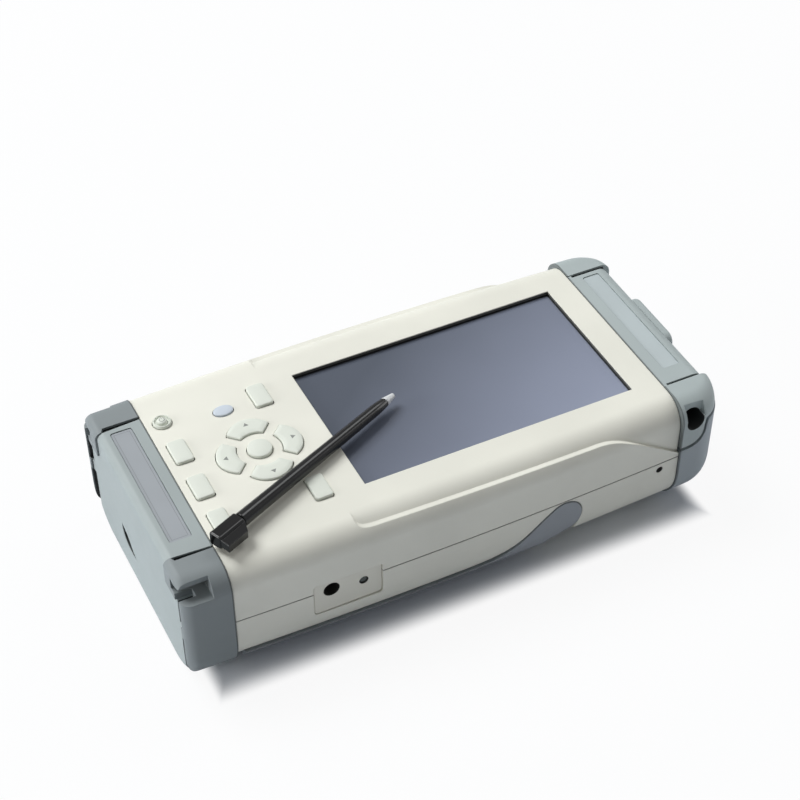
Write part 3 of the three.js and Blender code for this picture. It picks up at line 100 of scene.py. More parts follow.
class Wire:
    """A shader value that takes part in Python expressions."""

    def __init__(self, graph: "Graph", socket: bpy.types.NodeSocket) -> None:
        """Keep the graph and the output socket that carries the value."""
        self.graph = graph
        self.socket = socket

    def _maths(self, operation: str, *terms: Number) -> "Wire":
        """Add a Math node on these terms and return its output."""
        return self.graph.node("ShaderNodeMath", {"operation": operation}, dict(enumerate(terms)))

    def __add__(self, other: Number) -> "Wire":
        """Sum of this value and another."""
        return self._maths("ADD", self, other)

    __radd__ = __add__

    def __sub__(self, other: Number) -> "Wire":
        """This value less another."""
        return self._maths("SUBTRACT", self, other)

    def __rsub__(self, other: Number) -> "Wire":
        """Another value less this one."""
        return self._maths("SUBTRACT", other, self)

    def __mul__(self, other: Number) -> "Wire":
        """Product of this value and another."""
        return self._maths("MULTIPLY", self, other)

    __rmul__ = __mul__

    def __pow__(self, other: Number) -> "Wire":
        """This value to a power."""
        return self._maths("POWER", self, other)

    def __gt__(self, other: Number) -> "Wire":
        """One where this value is greater, and zero elsewhere."""
        return self._maths("GREATER_THAN", self, other)

    def __lt__(self, other: Number) -> "Wire":
        """One where this value is less, and zero elsewhere."""
        return self._maths("LESS_THAN", self, other)

    def __abs__(self) -> "Wire":
        """Size of this value without its sign."""
        return self._maths("ABSOLUTE", self)

    def least(self, other: Number) -> "Wire":
        """The smaller of this value and another."""
        return self._maths("MINIMUM", self, other)

    def clamped(self) -> "Wire":
        """This value held between zero and one."""
        return self.graph.node("ShaderNodeClamp", {}, {"Value": self})

    def ramp(self, low: float, high: float) -> "Wire":
        """Rise smoothly from zero at one value to one at another.

        Args:
            low: Value where the result is zero.
            high: Value where the result is one.

        Returns:
            The eased result.
        """
        return self.graph.node(
            "ShaderNodeMapRange", {"interpolation_type": "SMOOTHSTEP"},
            {"Value": self, "From Min": low, "From Max": high},
        )


class Graph:
    """The node graph of one material or world, built from typed calls."""

    def __init__(self, owner: bpy.types.Material | bpy.types.World) -> None:
        """Empty the owner's graph.

        Args:
            owner: The material or world.
        """
        self.owner = owner
        owner.use_nodes = True
        self.tree = owner.node_tree
        self.tree.nodes.clear()

    @cached_property
    def coordinates(self) -> Wire:
        """The object's own coordinates."""
        return self.node("ShaderNodeTexCoord", output="Object")

    def node(
        self, kind: str, settings: dict | None = None, values: dict | None = None, output: int | str = 0,
    ) -> Wire | None:
        """Add a node, set it up, and fill or link its sockets.

        Args:
            kind: The node's type.
            settings: Properties of the node, set before its sockets.
            values: Sockets by name or number, each with a value or a Wire.
            output: Name or number of the output to hand back.

        Returns:
            That output, or None where the node has no outputs.
        """
        node = self.tree.nodes.new(kind)
        for key, value in (settings or {}).items():
            setattr(node, key, value)
        for key, value in (values or {}).items():
            socket = node.inputs[key]
            if isinstance(value, Wire):
                self.tree.links.new(value.socket, socket)
            else:
                socket.default_value = (*value, 1.0) if socket.type == "RGBA" else value
        return Wire(self, node.outputs[output]) if node.outputs else None

    def noise(self, size_mm: float, detail: float = 2.0, roughness: float = 0.5) -> Wire:
        """Smooth noise whose lumps are about this large on the object."""
        return self.node("ShaderNodeTexNoise", {}, {
            "Vector": self.coordinates, "Scale": 1 / (size_mm * MM), "Detail": detail, "Roughness": roughness,
        }, "Fac")

    def axis(self, name: str) -> Wire:
        """One of the object's coordinates in millimetres, by its letter."""
        return self.node("ShaderNodeSeparateXYZ", {}, {0: self.coordinates}, name) * (1 / MM)

    def varied(self, base: float, *parts: tuple[Wire, float]) -> Wire:
        """A value that patterns push up and down about their middle, each by its own amount."""
        return sum(((pattern - 0.5) * amount for pattern, amount in parts), base).clamped()

    def blend(self, amount: Number, first: Colour | Wire, second: Colour | Wire) -> Wire:
        """Mix two colours by an amount from zero to one, through the colour sockets of a Mix node."""
        return self.node("ShaderNodeMix", {"data_type": "RGBA"}, {0: amount, 6: first, 7: second}, 2)

    def edge_normal(self, radius_mm: float) -> Wire:
        """Normal rounded over sharp edges by this radius."""
        return self.node("ShaderNodeBevel", {"samples": 6}, {"Radius": radius_mm * MM})

    def bump(self, height: Wire, depth_mm: float, base: Wire) -> Wire:
        """Normal pushed about by a height pattern.

        Args:
            height: The pattern, from zero to one.
            depth_mm: How far one stands above zero.
            base: Normal to start from.

        Returns:
            The new normal.
        """
        values = {"Height": height, "Distance": depth_mm * MM, "Strength": 1.0, "Normal": base}
        return self.node("ShaderNodeBump", {}, values)

    def close(self, shader: Wire) -> bpy.types.Material | bpy.types.World:
        """Lead a shader to the output and hand out the finished material or world.

        Args:
            shader: The shader.

        Returns:
            That material or world.
        """
        kind = "World" if isinstance(self.owner, bpy.types.World) else "Material"
        self.node(f"ShaderNodeOutput{kind}", {}, {"Surface": shader})
        return self.owner

    def surface(self, values: dict) -> bpy.types.Material:
        """Close the graph with a Principled surface.

        Args:
            values: Sockets of the surface by name, each with a value or a Wire.

        Returns:
            The finished material.
        """
        return self.close(self.node("ShaderNodeBsdfPrincipled", {}, values))


# Finishes


@dataclass(frozen=True)
class PaintedShadeBox:
    """Box in which the colour of a hole's wall or a seam is darkened as painted shade; mirrored, it lies on
    both sides of the middle.
    """

    x: Pair
    y: Pair
    z: Pair
    mirrored: bool = False
    # Share of the colour that the painted shade leaves
    left: float = 0.12

    def mask(self, graph: Graph) -> Wire:
        """One inside the box and zero outside.

        Args:
            graph: Graph of the finish.

        Returns:
            The mask.
        """
        y = abs(graph.axis("Y")) if self.mirrored else graph.axis("Y")
        places = ((graph.axis("X"), self.x), (y, self.y), (graph.axis("Z"), self.z))
        inside = [(place > low) * (place < high) for place, (low, high) in places]
        return inside[0] * inside[1] * inside[2]


@dataclass(frozen=True)
class PaintedShadeBore:
    """Round hole along Y, within which the colour of the hole's wall is darkened as painted shade."""

    centre: Pair
    radius: float
    y: Pair
    # Share of the colour that the painted shade leaves
    left: float = 0.05

    def mask(self, graph: Graph) -> Wire:
        """One where the way from the hole's line is less than its radius.

        Args:
            graph: Graph of the finish.

        Returns:
            The mask.
        """
        across, up = graph.axis("X") - self.centre[0], graph.axis("Z") - self.centre[1]
        y = graph.axis("Y")
        return (across * across + up * up < self.radius ** 2) * (y > self.y[0]) * (y < self.y[1])


@dataclass(frozen=True)
class MouldedPlastic:
    """Plastic from a spark-eroded mould: fine even grain, faint mottling and handling marks, with painted
    shade in its holes and seams.
    """

    name: str
    colour: Colour
    grain_mm: float = 0.35
    depth_mm: float = 0.012
    roughness: float = 0.5
    edge_mm: float = 0.25
    mottle: float = 0.03
    mottle_mm: float = 38.0
    marks_mm: float = 6.0
    specular: float = 0.5
    # Boxes and bores in which the colour is darkened as painted shade
    painted_shades: tuple[PaintedShadeBox | PaintedShadeBore, ...] = ()

    def build(self) -> bpy.types.Material:
        """Make the material: grain in the normal, marks in colour and roughness, and painted shade in the
        colour of holes and seams.

        Returns:
            The material.
        """
        graph = Graph(bpy.data.materials.new(self.name))
        grain = graph.noise(self.grain_mm, 3, 0.6)
        broad = graph.noise(self.mottle_mm, 3)
        marks = graph.noise(self.marks_mm, 4, 0.65)
        darker = tuple(c * (1 - self.mottle) for c in self.colour)
        lighter = tuple(min(1.0, c * (1 + self.mottle)) for c in self.colour)
        colour = graph.blend(broad.ramp(0.35, 0.65), darker, lighter)
        # Painted shade: darken the colour in each box and bore to the share that it leaves
        for hollow in self.painted_shades:
            colour = graph.blend(hollow.mask(graph), colour, tuple(hollow.left * c for c in self.colour))
        return graph.surface({
            "Base Color": colour,
            "Roughness": graph.varied(self.roughness, (grain, 0.1), (marks, 0.16)),
            "Normal": graph.bump(grain, self.depth_mm, graph.edge_normal(self.edge_mm)),
            "Specular IOR Level": self.specular,
        })


@dataclass(frozen=True)
class KeySigns:
    """Plain arrowheads on the direction keys and the usual sign for on and off, in millimetres."""

    ink: Colour
    cluster: Pair = CLUSTER_AT
    arrow: Pair = (11.0, 12.5)
    arrow_lean: float = 0.62
    arrow_floor: float = 48.0
    power: Pair = POWER_AT
    power_floor: float = 48.9
    ring_radius: float = 0.85
    half_stroke: float = 0.11
    half_break: float = 0.34
    bar: Pair = (0.25, 1.1)
    cover: float = 0.8

    def _arrows(self, graph: Graph) -> Wire:
        """Four small triangles that point away from the cluster's middle.

        With the way from the middle split into its longer and shorter part, a point lies in a triangle
        where the shorter part is less than a share of what is left to the triangle's tip.

        Args:
            graph: Graph of the finish.

        Returns:
            One in the triangles and zero elsewhere.
        """
        across = abs(graph.axis("X") - self.cluster[0])
        up = abs(graph.axis("Y") - self.cluster[1])
        longer, shorter = (across + up + abs(across - up)) * 0.5, across.least(up)
        start, tip = self.arrow
        inside = (longer > start) * (shorter < (tip - longer) * self.arrow_lean)
        return inside * (graph.axis("Z") > self.arrow_floor)

    def _power(self, graph: Graph) -> Wire:
        """Broken ring with a bar.

        Args:
            graph: Graph of the finish.

        Returns:
            One in the sign and zero elsewhere.
        """
        across, up = graph.axis("X") - self.power[0], graph.axis("Y") - self.power[1]
        ring = abs((across * across + up * up) ** 0.5 - self.ring_radius) < self.half_stroke
        broken = ring * (1 - (abs(across) < self.half_break) * (up > 0))
        bar = (abs(across) < self.half_stroke) * (up > self.bar[0]) * (up < self.bar[1])
        return (broken + bar).clamped() * (graph.axis("Z") > self.power_floor)

    def over(self, graph: Graph, colour: Wire) -> Wire:
        """Print the signs over a colour."""
        signs = (self._arrows(graph) + self._power(graph)).clamped()
        return graph.blend(signs * self.cover, colour, self.ink)


@dataclass(frozen=True)
class SoftRubber:
    """Silicone or rubber: matte, with a soft sheen and a dusting of lint."""

    name: str
    colour: Colour
    roughness: float = 0.62
    edge_mm: float = 0.2
    grain_mm: float = 0.22
    depth_mm: float = 0.008
    dust: float = 0.06
    dust_mm: float = 1.6
    signs: KeySigns | None = None

    def build(self) -> bpy.types.Material:
        """Make the material: very fine grain and a faint pale dust.

        Returns:
            The material.
        """
        graph = Graph(bpy.data.materials.new(self.name))
        grain = graph.noise(self.grain_mm, 2, 0.6)
        lint = graph.noise(self.dust_mm, 5, 0.7).ramp(0.55, 0.8) * self.dust
        pale = tuple(0.5 + 0.5 * c for c in self.colour)
        colour = graph.blend(lint, self.colour, pale)
        return graph.surface({
            "Base Color": self.signs.over(graph, colour) if self.signs else colour,
            "Roughness": graph.varied(self.roughness, (grain, 0.12)),
            "Normal": graph.bump(grain, self.depth_mm, graph.edge_normal(self.edge_mm)),
            "Sheen Weight": 0.1,
            "Sheen Roughness": 0.4,
        })


@dataclass(frozen=True)
class ScreenGlass:
    """Satin front of an unlit display: grey-blue with a painted reflection that makes it paler to the right,
    a dark border and faint smears.
    """

    name: str
    near_left: Colour
    far_right: Colour
    border: Colour
    middle_mm: Pair = (20.3, 0.0)
    half_mm: Pair = (48.9, 28.2)
    border_mm: float = 0.35
    border_blur_mm: float = 0.1
    cloud_mm: float = 48.0
    smear_mm: float = 11.0
    middle_share: float = 0.38
    painted_reflection_per_mm: Pair = (0.0078, -0.0095)
    cloud_share: float = 0.2

    def build(self) -> bpy.types.Material:
        """Make the material: its grey follows the places along both sides of the window, as a painted
        reflection that is paler to the right and towards the near side.

        Returns:
            The material.
        """
        graph = Graph(bpy.data.materials.new(self.name))
        across, up = graph.axis("X") - self.middle_mm[0], graph.axis("Y") - self.middle_mm[1]
        from_edge = (self.half_mm[0] - abs(across)).least(self.half_mm[1] - abs(up))
        inside = from_edge.ramp(self.border_mm - self.border_blur_mm, self.border_mm + self.border_blur_mm)
        cloud = (graph.noise(self.cloud_mm, 2) - 0.5) * self.cloud_share
        # Painted reflection: the grey grows paler to the right and towards the near side
        slope = across * self.painted_reflection_per_mm[0] + up * self.painted_reflection_per_mm[1]
        share = (self.middle_share + slope + cloud).clamped()
        smears = graph.noise(self.smear_mm, 5, 0.7).ramp(0.5, 0.8)
        colour = graph.blend(share, self.near_left, self.far_right)
        return graph.surface({
            "Base Color": graph.blend(inside, self.border, colour),
            "Roughness": 0.16 + smears * 0.08,
            "Specular IOR Level": 0.4,
            "IOR": 1.5,
        })


@dataclass(frozen=True)
class Metal:
    """Bare or plated metal with fine turning marks and rubbed edges."""

    name: str
    colour: Colour
    roughness: float = 0.3
    grain_mm: float = 0.15
    depth_mm: float = 0.004
    stain_mm: float = 3.0
    edge_mm: float = 0.12

    def build(self) -> bpy.types.Material:
        """Make the material: roughness and normal vary over fine marks.

        Returns:
            The material.
        """
        graph = Graph(bpy.data.materials.new(self.name))
        grain = graph.noise(self.grain_mm, 3, 0.6)
        stain = graph.noise(self.stain_mm, 3)
        darker = tuple(0.8 * c for c in self.colour)
        return graph.surface({
            "Base Color": graph.blend(stain.ramp(0.4, 0.75), self.colour, darker),
            "Metallic": 1.0,
            "Roughness": graph.varied(self.roughness, (grain, 0.18), (stain, 0.15)),
            "Normal": graph.bump(grain, self.depth_mm, graph.edge_normal(self.edge_mm)),
        })


@dataclass(frozen=True)
class CircuitBoard:
    """Glass-fibre board under green resist, with the faint relief of its copper tracks."""

    name: str
    resist: Colour
    copper: Colour
    tracks_mm: float = 9.0
    weave_mm: float = 0.6
    depth_mm: float = 0.03
    edge_mm: float = 0.1

    def build(self) -> bpy.types.Material:
        """Make the material: straight tracks as thin bands of a brick pattern.

        Returns:
            The material.
        """
        graph = Graph(bpy.data.materials.new(self.name))
        tracks = graph.node("ShaderNodeTexBrick", {"offset": 0.4}, {
            "Vector": graph.coordinates, "Scale": 1 / (self.tracks_mm * MM), "Mortar Size": 0.03,
            "Brick Width": 0.7, "Row Height": 0.22,
        }, "Fac")
        weave = graph.noise(self.weave_mm, 2)
        return graph.surface({
            "Base Color": graph.blend(tracks * 0.6, self.resist, self.copper),
            "Roughness": 0.38 + weave * 0.12,
            "Coat Weight": 0.3,
            "Normal": graph.bump(tracks, self.depth_mm, graph.edge_normal(self.edge_mm)),
        })


@dataclass(frozen=True)
class BarePlate:
    """Satin plate without words, with a thin engraved line near its edge."""

    name: str
    colour: Colour
    middle_mm: Pair
    half_mm: Pair
    line_mm: float
    grain_mm: float = 0.2
    depth_mm: float = 0.006
    mottle_mm: float = 14.0
    edge_mm: float = 0.15

    def build(self) -> bpy.types.Material:
        """Make the material: the line lies where the way to the nearest edge is its inset.

        Returns:
            The material.
        """
        graph = Graph(bpy.data.materials.new(self.name))
        grain = graph.noise(self.grain_mm, 2, 0.6)
        broad = graph.noise(self.mottle_mm, 3)
        from_x = self.half_mm[0] - abs(graph.axis("X") - self.middle_mm[0])
        from_y = self.half_mm[1] - abs(graph.axis("Y") - self.middle_mm[1])
        from_edge = from_x.least(from_y)
        line = abs(from_edge - self.line_mm).ramp(0.16, 0.06) * float(self.line_mm > 0)
        colour = graph.blend(broad.ramp(0.3, 0.7), tuple(0.96 * c for c in self.colour), self.colour)
        return graph.surface({
            "Base Color": graph.blend(line * 0.55, colour, tuple(0.45 * c for c in self.colour)),
            "Roughness": graph.varied(0.42, (grain, 0.1)),
            "Normal": graph.bump(grain - line * 2.0, self.depth_mm, graph.edge_normal(self.edge_mm)),
        })


# Painted shade: boxes and bores in which the colour is darkened, on the walls of holes and along the lines of
# seams where shade falls

PARTING_LINE = PaintedShadeBox((-81, 79), ANYWHERE, (26.78, 27.24), left=0.5)
KEY_HOLES = PaintedShadeBox((-79, -38), (-31, 31), (40, 47.55))
WINDOW_WALLS = PaintedShadeBox((-28.7, 69.3), (-28.3, 28.3), (40, 47.5))
RESET_HOLE = PaintedShadeBox((70.4, 73.2), (-44.85, -40), (22.7, 25.5))
CHARGER_HOLE = PaintedShadeBore((-49, 26.5), 2.86, (-45.9, -41))
LIGHT_HOLE = PaintedShadeBore((-37.9, 25.2), 1.66, (-45.9, -41))
BOTTOM_SEAM = PaintedShadeBox((-81.6, -81), ANYWHERE, ANYWHERE, left=0.5)
CRESCENT = PaintedShadeBox((-96.25, -89), (-6, 20), (8, 25))
CAP_SLITS = PaintedShadeBox((-96.2, -91.4), (38.3, 41.9), (4.9, 37.5), mirrored=True)
CAP_SLOTS = PaintedShadeBox((-93.6, -81), (29, 32.1), (30, 47.2), mirrored=True)
GUARD_SLOTS = replace(CAP_SLOTS, y=(31.9, 32.2))
STRAP_NOTCHES = PaintedShadeBox((-95, -86.9), (35.4, 41.1), (41.1, 45.4), mirrored=True, left=0.3)
TOP_SEAM = PaintedShadeBox((79, 79.6), ANYWHERE, ANYWHERE, left=0.5)
TOP_SLOTS = PaintedShadeBox((80, 94), (30.7, 32.1), (30, 47.3), mirrored=True)
CONNECTOR_ROOM = PaintedShadeBox((88.2, 93.5), (-8, 11.4), (21, 40.5))
STYLUS_BORE = PaintedShadeBore(STYLUS_BORE_AT, 3.46, (-PAST_SIDE, 40.2))


class Finish(Enum):
    """The finishes of the object, each with the name of its material."""

    SHELL = MouldedPlastic(
        "pale_shell", srgb(231, 230, 219), edge_mm=0.4,
        painted_shades=(KEY_HOLES, WINDOW_WALLS, RESET_HOLE, PARTING_LINE),
    )
    PANEL = MouldedPlastic(
        "socket_panel", srgb(228, 226, 214), grain_mm=0.25, depth_mm=0.008,
        painted_shades=(CHARGER_HOLE, LIGHT_HOLE),
    )
    # One grey plastic in four tones as painted light and shade: the guards at the bottom end painted darker,
    # the cap, guards and hood at the top end painted lighter
    CAP = MouldedPlastic(
        "grey_cap", srgb(156, 165, 165), depth_mm=0.016, roughness=0.55,
        painted_shades=(CRESCENT, CAP_SLITS, CAP_SLOTS, STRAP_NOTCHES, BOTTOM_SEAM),
    )
    CAP_TOP_PAINTED_LIGHTER = MouldedPlastic(
        "grey_cap_top_painted_lighter", srgb(170, 180, 180), depth_mm=0.016, roughness=0.55,
        painted_shades=(TOP_SLOTS, CONNECTOR_ROOM, STYLUS_BORE, replace(TOP_SEAM, left=0.4)),
    )
    GUARD_PAINTED_DARKER = MouldedPlastic(
        "grey_guard", srgb(128, 135, 137), depth_mm=0.018, roughness=0.58,
        painted_shades=(replace(CAP_SLITS, x=(-96.7, -91.4)), GUARD_SLOTS, STRAP_NOTCHES, BOTTOM_SEAM),
    )
    GUARD_TOP_PAINTED_LIGHTER = MouldedPlastic(
        "grey_guard_top_painted_lighter", srgb(160, 168, 173), depth_mm=0.018, roughness=0.58, painted_shades=(TOP_SEAM,),
    )
    STAND = MouldedPlastic("stand_grey", srgb(152, 157, 163), depth_mm=0.014, roughness=0.55)
    PLATE_LEFT = BarePlate("plate_left", srgb(156, 161, 166), (-88.75, 2.1), (3.55, 26.4), 0.9)
    PLATE_RIGHT = BarePlate("plate_right", srgb(184, 194, 196), (87.0, 2.6), (3.1, 26.4), 0.0)
    KEY = SoftRubber("key_rubber", srgb(220, 224, 214), signs=KeySigns(srgb(96, 100, 98)))
    KEY_BLUE = SoftRubber("key_blue", srgb(200, 209, 219))
    GLASS = ScreenGlass("screen_glass", srgb(86, 92, 104), srgb(150, 157, 177), srgb(60, 62, 64))
    BLACK = MouldedPlastic("black_plastic", srgb(9, 9, 10), grain_mm=0.3, depth_mm=0.001, roughness=0.16)
    TIP = MouldedPlastic("stylus_tip", srgb(222, 224, 226), grain_mm=0.3, depth_mm=0.002, roughness=0.22)
    FOOT = SoftRubber("dark_rubber", srgb(46, 47, 50), roughness=0.8, dust=0.3)
    STEEL = Metal("steel", srgb(190, 192, 194), 0.32)
    BRASS = Metal("brass", srgb(214, 184, 118), 0.26)
    WHITE = MouldedPlastic("white_plastic", srgb(232, 228, 214), depth_mm=0.003, roughness=0.3)
    CLEAR = MouldedPlastic("clear_plastic", srgb(74, 80, 76), depth_mm=0.003, roughness=0.18)
    BOARD = CircuitBoard("board_green", srgb(30, 92, 58), srgb(86, 128, 78))


# Outlines and bodies, worked out in millimetres


def centred(half: float) -> Pair:
    """Range that reaches as far to both sides of the middle."""
    return -half, half


def arc(centre: Pair, radius: float, start_deg: float, end_deg: float, steps: int = 16) -> Array:
    """Points of a circle's arc: centre plus radius times cosine and sine of evenly spaced turns.

    Args:
        centre: Its centre.
        radius: Its radius.
        start_deg: Turn of its first point.
        end_deg: Turn of its last point.
        steps: How many parts it is cut into.

    Returns:
        One row per point.
    """
    turn = np.radians(np.linspace(start_deg, end_deg, steps + 1))
    return np.stack([centre[0] + radius * np.cos(turn), centre[1] + radius * np.sin(turn)], -1)


def rounded_rect(u: Pair, v: Pair, radius: float, steps: int = 8) -> Array:
    """Rectangle whose corners are quarter circles.

    Args:
        u: Its range along the first axis.
        v: Its range along the second axis.
        radius: Radius of the corners.
        steps: Parts of each corner.

    Returns:
        One row per point, anticlockwise.
    """
    (left, right), (low, high) = ((start + radius, end - radius) for start, end in (u, v))
    corners = (((right, low), -90), ((right, high), 0), ((left, high), 90), ((left, low), 180))
    return np.concatenate([arc(centre, radius, start, start + 90, steps) for centre, start in corners])


def bezier(controls: Array, steps: int = 24) -> Array:
    """Cubic curve: the four controls weighted by the terms of (1 - t + t) cubed.

    Args:
        controls: Four points.
        steps: Parts of the curve.

    Returns:
        One row per point.
    """
    t = np.linspace(0, 1, steps + 1)[:, None]
    p = np.asarray(controls, float)
    return (1 - t) ** 3 * p[0] + 3 * t * (1 - t) ** 2 * p[1] + 3 * t * t * (1 - t) * p[2] + t ** 3 * p[3]


def new_object(name: str, data: bpy.types.ID) -> bpy.types.Object:
    """Put a new object with this data into the scene.

    Args:
        name: Its name.
        data: The mesh, lamp or camera that it carries.

    Returns:
        The object.
    """
    made = bpy.data.objects.new(name, data)
    bpy.context.scene.collection.objects.link(made)
    return made


class Solid:
    """A closed body under construction, in millimetres."""

    raw_weld, last_weld = 2e-4, 1e-4

    def __init__(self, rings: Array) -> None:
        """Skin a row of rings, one after another, and close both ends.

        Args:
            rings: Points by ring, by place round the ring, by axis.
        """
        count, round_count, _ = rings.shape
        index = np.arange(count * round_count).reshape(count, round_count)
        ahead = np.roll(index, -1, axis=1)
        quads = np.stack([index[:-1], ahead[:-1], ahead[1:], index[1:]], -1).reshape(-1, 4)
        mesh = bpy.data.meshes.new("solid")
        ends = [index[0, ::-1].tolist(), index[-1].tolist()]
        mesh.from_pydata(rings.reshape(-1, 3), [], quads.tolist() + ends)
        self.object = new_object("solid", mesh)
        self._mend(self.raw_weld)

    def _mend(self, distance: float) -> None:
        """Merge points closer than a distance and turn all faces outwards.

        Args:
            distance: How close, in millimetres.
        """
        work = bmesh.new()
        work.from_mesh(self.object.data)
        bmesh.ops.remove_doubles(work, verts=work.verts, dist=distance)
        bmesh.ops.recalc_face_normals(work, faces=work.faces)
        work.to_mesh(self.object.data)
        work.free()

    def _combine(self, operation: str, others: "tuple[Solid, ...]") -> "Solid":
        """Join, cut or meet this body with others, which are used up.

        Args:
            operation: Union, difference or intersection, in Blender's word.
            others: The other bodies.

        Returns:
            This body.
        """
        for other in others:
            step = self.object.modifiers.new("step", "BOOLEAN")
            step.operation, step.solver, step.object = operation, "MANIFOLD", other.object
        shown = self.object.evaluated_get(bpy.context.evaluated_depsgraph_get())
        mesh = bpy.data.meshes.new_from_object(shown)
        self.object.modifiers.clear()
        self.object.data = mesh
        for other in others:
            bpy.data.objects.remove(other.object)
        if not mesh.polygons:
            raise ValueError("a body was cut away completely")
        return self

    def minus(self, *others: "Solid") -> "Solid":
        """Cut other bodies away."""
        return self._combine("DIFFERENCE", others)

    def plus(self, *others: "Solid") -> "Solid":
        """Join other bodies on."""
        return self._combine("UNION", others)

    def within(self, other: "Solid") -> "Solid":
        """Keep what lies inside another body."""
        return self._combine("INTERSECT", (other,))

    def moved(self, matrix: Matrix) -> "Solid":
        """Turn and shift the body."""
        self.object.data.transform(matrix)
        return self

    def released(self, name: str) -> bpy.types.Object:
        """Hand the body out as a named object in metres.

        Args:
            name: The object's name.

        Returns:
            The object.
        """
        self._mend(self.last_weld)
        self.object.data.transform(Matrix.Scale(MM, 4))
        self.object.name = name
        self.object.data.name = name
        return self.object


def along(axis: Axis, outline: Array, places: Array, grow: Array | None = None) -> Array:
    """Rings of one outline at many places along an axis, shrunk towards its middle where asked.

    Args:
        axis: The axis that the rings follow.
        outline: Points in the other two axes, in the order of the alphabet.
        places: Where the rings stand.
        grow: Distance that each ring's points move away from the outline's middle.

    Returns:
        Rings for a Solid.
    """
    places = np.asarray(places, float)
    points = np.repeat(np.asarray(outline, float)[None], len(places), axis=0)
    if grow is not None:
        middle = (outline.max(0) + outline.min(0)) / 2
        half = (outline.max(0) - outline.min(0)) / 2
        points = middle + (points - middle) * (1 + np.asarray(grow, float)[:, None, None] / half)
    column = np.broadcast_to(places[:, None, None], points.shape[:2] + (1,))
    parts = [points[..., :1], points[..., 1:]]
    parts.insert(axis.value, column)
    return np.concatenate(parts, -1)


def prism(axis: Axis, outline: Array, start: float, end: float) -> Solid:
    """Straight body of one outline between two places on an axis."""
    return Solid(along(axis, np.asarray(outline, float), np.array([start, end])))


def rod(
    axis: Axis, centre: Pair, radius: float, start: float, end: float, steps: int = 48,
) -> Solid:
    """Round bar between two places on an axis."""
    return prism(axis, arc(centre, radius, 0, 360 - 360 / steps, steps - 1), start, end)


def block(x: Pair, y: Pair, z: Pair) -> Solid:
    """Box between two corners, used only to cut other bodies."""
    return prism(Axis.Z, [(x[0], y[0]), (x[1], y[0]), (x[1], y[1]), (x[0], y[1])], *z)


def slab(z: Pair) -> Solid:
    """Everything between two heights."""
    return block(centred(PAST_END), centred(PAST_SIDE), z)


def half_width(x: Array | float) -> Array | float:
    """Half width of the bowed case: widest at one place, less with the square of the way from it."""
    return HALF_WIDTH - (x - BOW_CENTRE) ** 2 / (2 * BOW_RADIUS)


def sections(
    x: Array, half: Array, top: Array, bottom: Array, top_round: Array, back_round: Array,
    steps: tuple[int, int] = (14, 20),
) -> Array:
    """Sections of a long body: rectangles with one corner radius above and another below.

    A point on a corner is the corner's centre plus the radius times cosine and sine of its turn.

    Args:
        x: Places of the sections.
        half: Half width of each.
        top: Height of each one's top.
        bottom: Height of each one's bottom.
        top_round: Radius of the upper corners.
        back_round: Radius of the lower corners.
        steps: Parts of an upper and of a lower corner.

    Returns:
        Rings for a Solid.
    """
    turns = [np.linspace(90 * k, 90 * k + 90, steps[k > 1] + 1) for k in range(4)]
    turn = np.radians(np.concatenate(turns))
    upper = np.concatenate([np.full(len(t), k < 2) for k, t in enumerate(turns)])
    side = np.concatenate([np.full(len(t), 1.0 if k in (0, 3) else -1.0) for k, t in enumerate(turns)])
    x, half, top, bottom, top_round, back_round = (
        np.broadcast_to(np.asarray(a, float), np.shape(x))[:, None]
        for a in (x, half, top, bottom, top_round, back_round)
    )
    radius = np.where(upper, top_round, back_round)
    y = side * (half - radius) + radius * np.cos(turn)
    z = np.where(upper, top - radius, bottom + radius) + radius * np.sin(turn)
    return np.stack([np.broadcast_to(x, y.shape), y, z], -1)


def side_range(sign: int, inner: float, outer: float) -> Pair:
    """Range along Y between two distances from the middle, on one side."""
    return tuple(sorted((sign * inner, sign * outer)))


def edge_profile(radius: float, steps: int = 6) -> tuple[Array, Array]:
    """Quarter round: inset r - r cos t against height r sin t, for t from 0 to 90 degrees.

    Args:
        radius: Its radius.
        steps: Parts of the round.

    Returns:
        The insets and the heights.
    """
    turn = np.radians(np.linspace(0, 90, steps + 1))
    return radius * (1 - np.cos(turn)), radius * np.sin(turn)


def turned(profile: list[Pair] | Array, steps: int = 64) -> Solid:
    """Body of revolution about the first axis: at each place, a circle of the profile's radius.

    Args:
        profile: Places along the axis, each with a radius above zero.
        steps: Corners of each circle.

    Returns:
        The body.
    """
    place, radius = np.asarray(profile, float).T
    turn = np.radians(np.arange(steps) * 360 / steps)
    rings = np.stack(np.broadcast_arrays(
        place[:, None], radius[:, None] * np.cos(turn), radius[:, None] * np.sin(turn),
    ), -1)
    return Solid(rings)


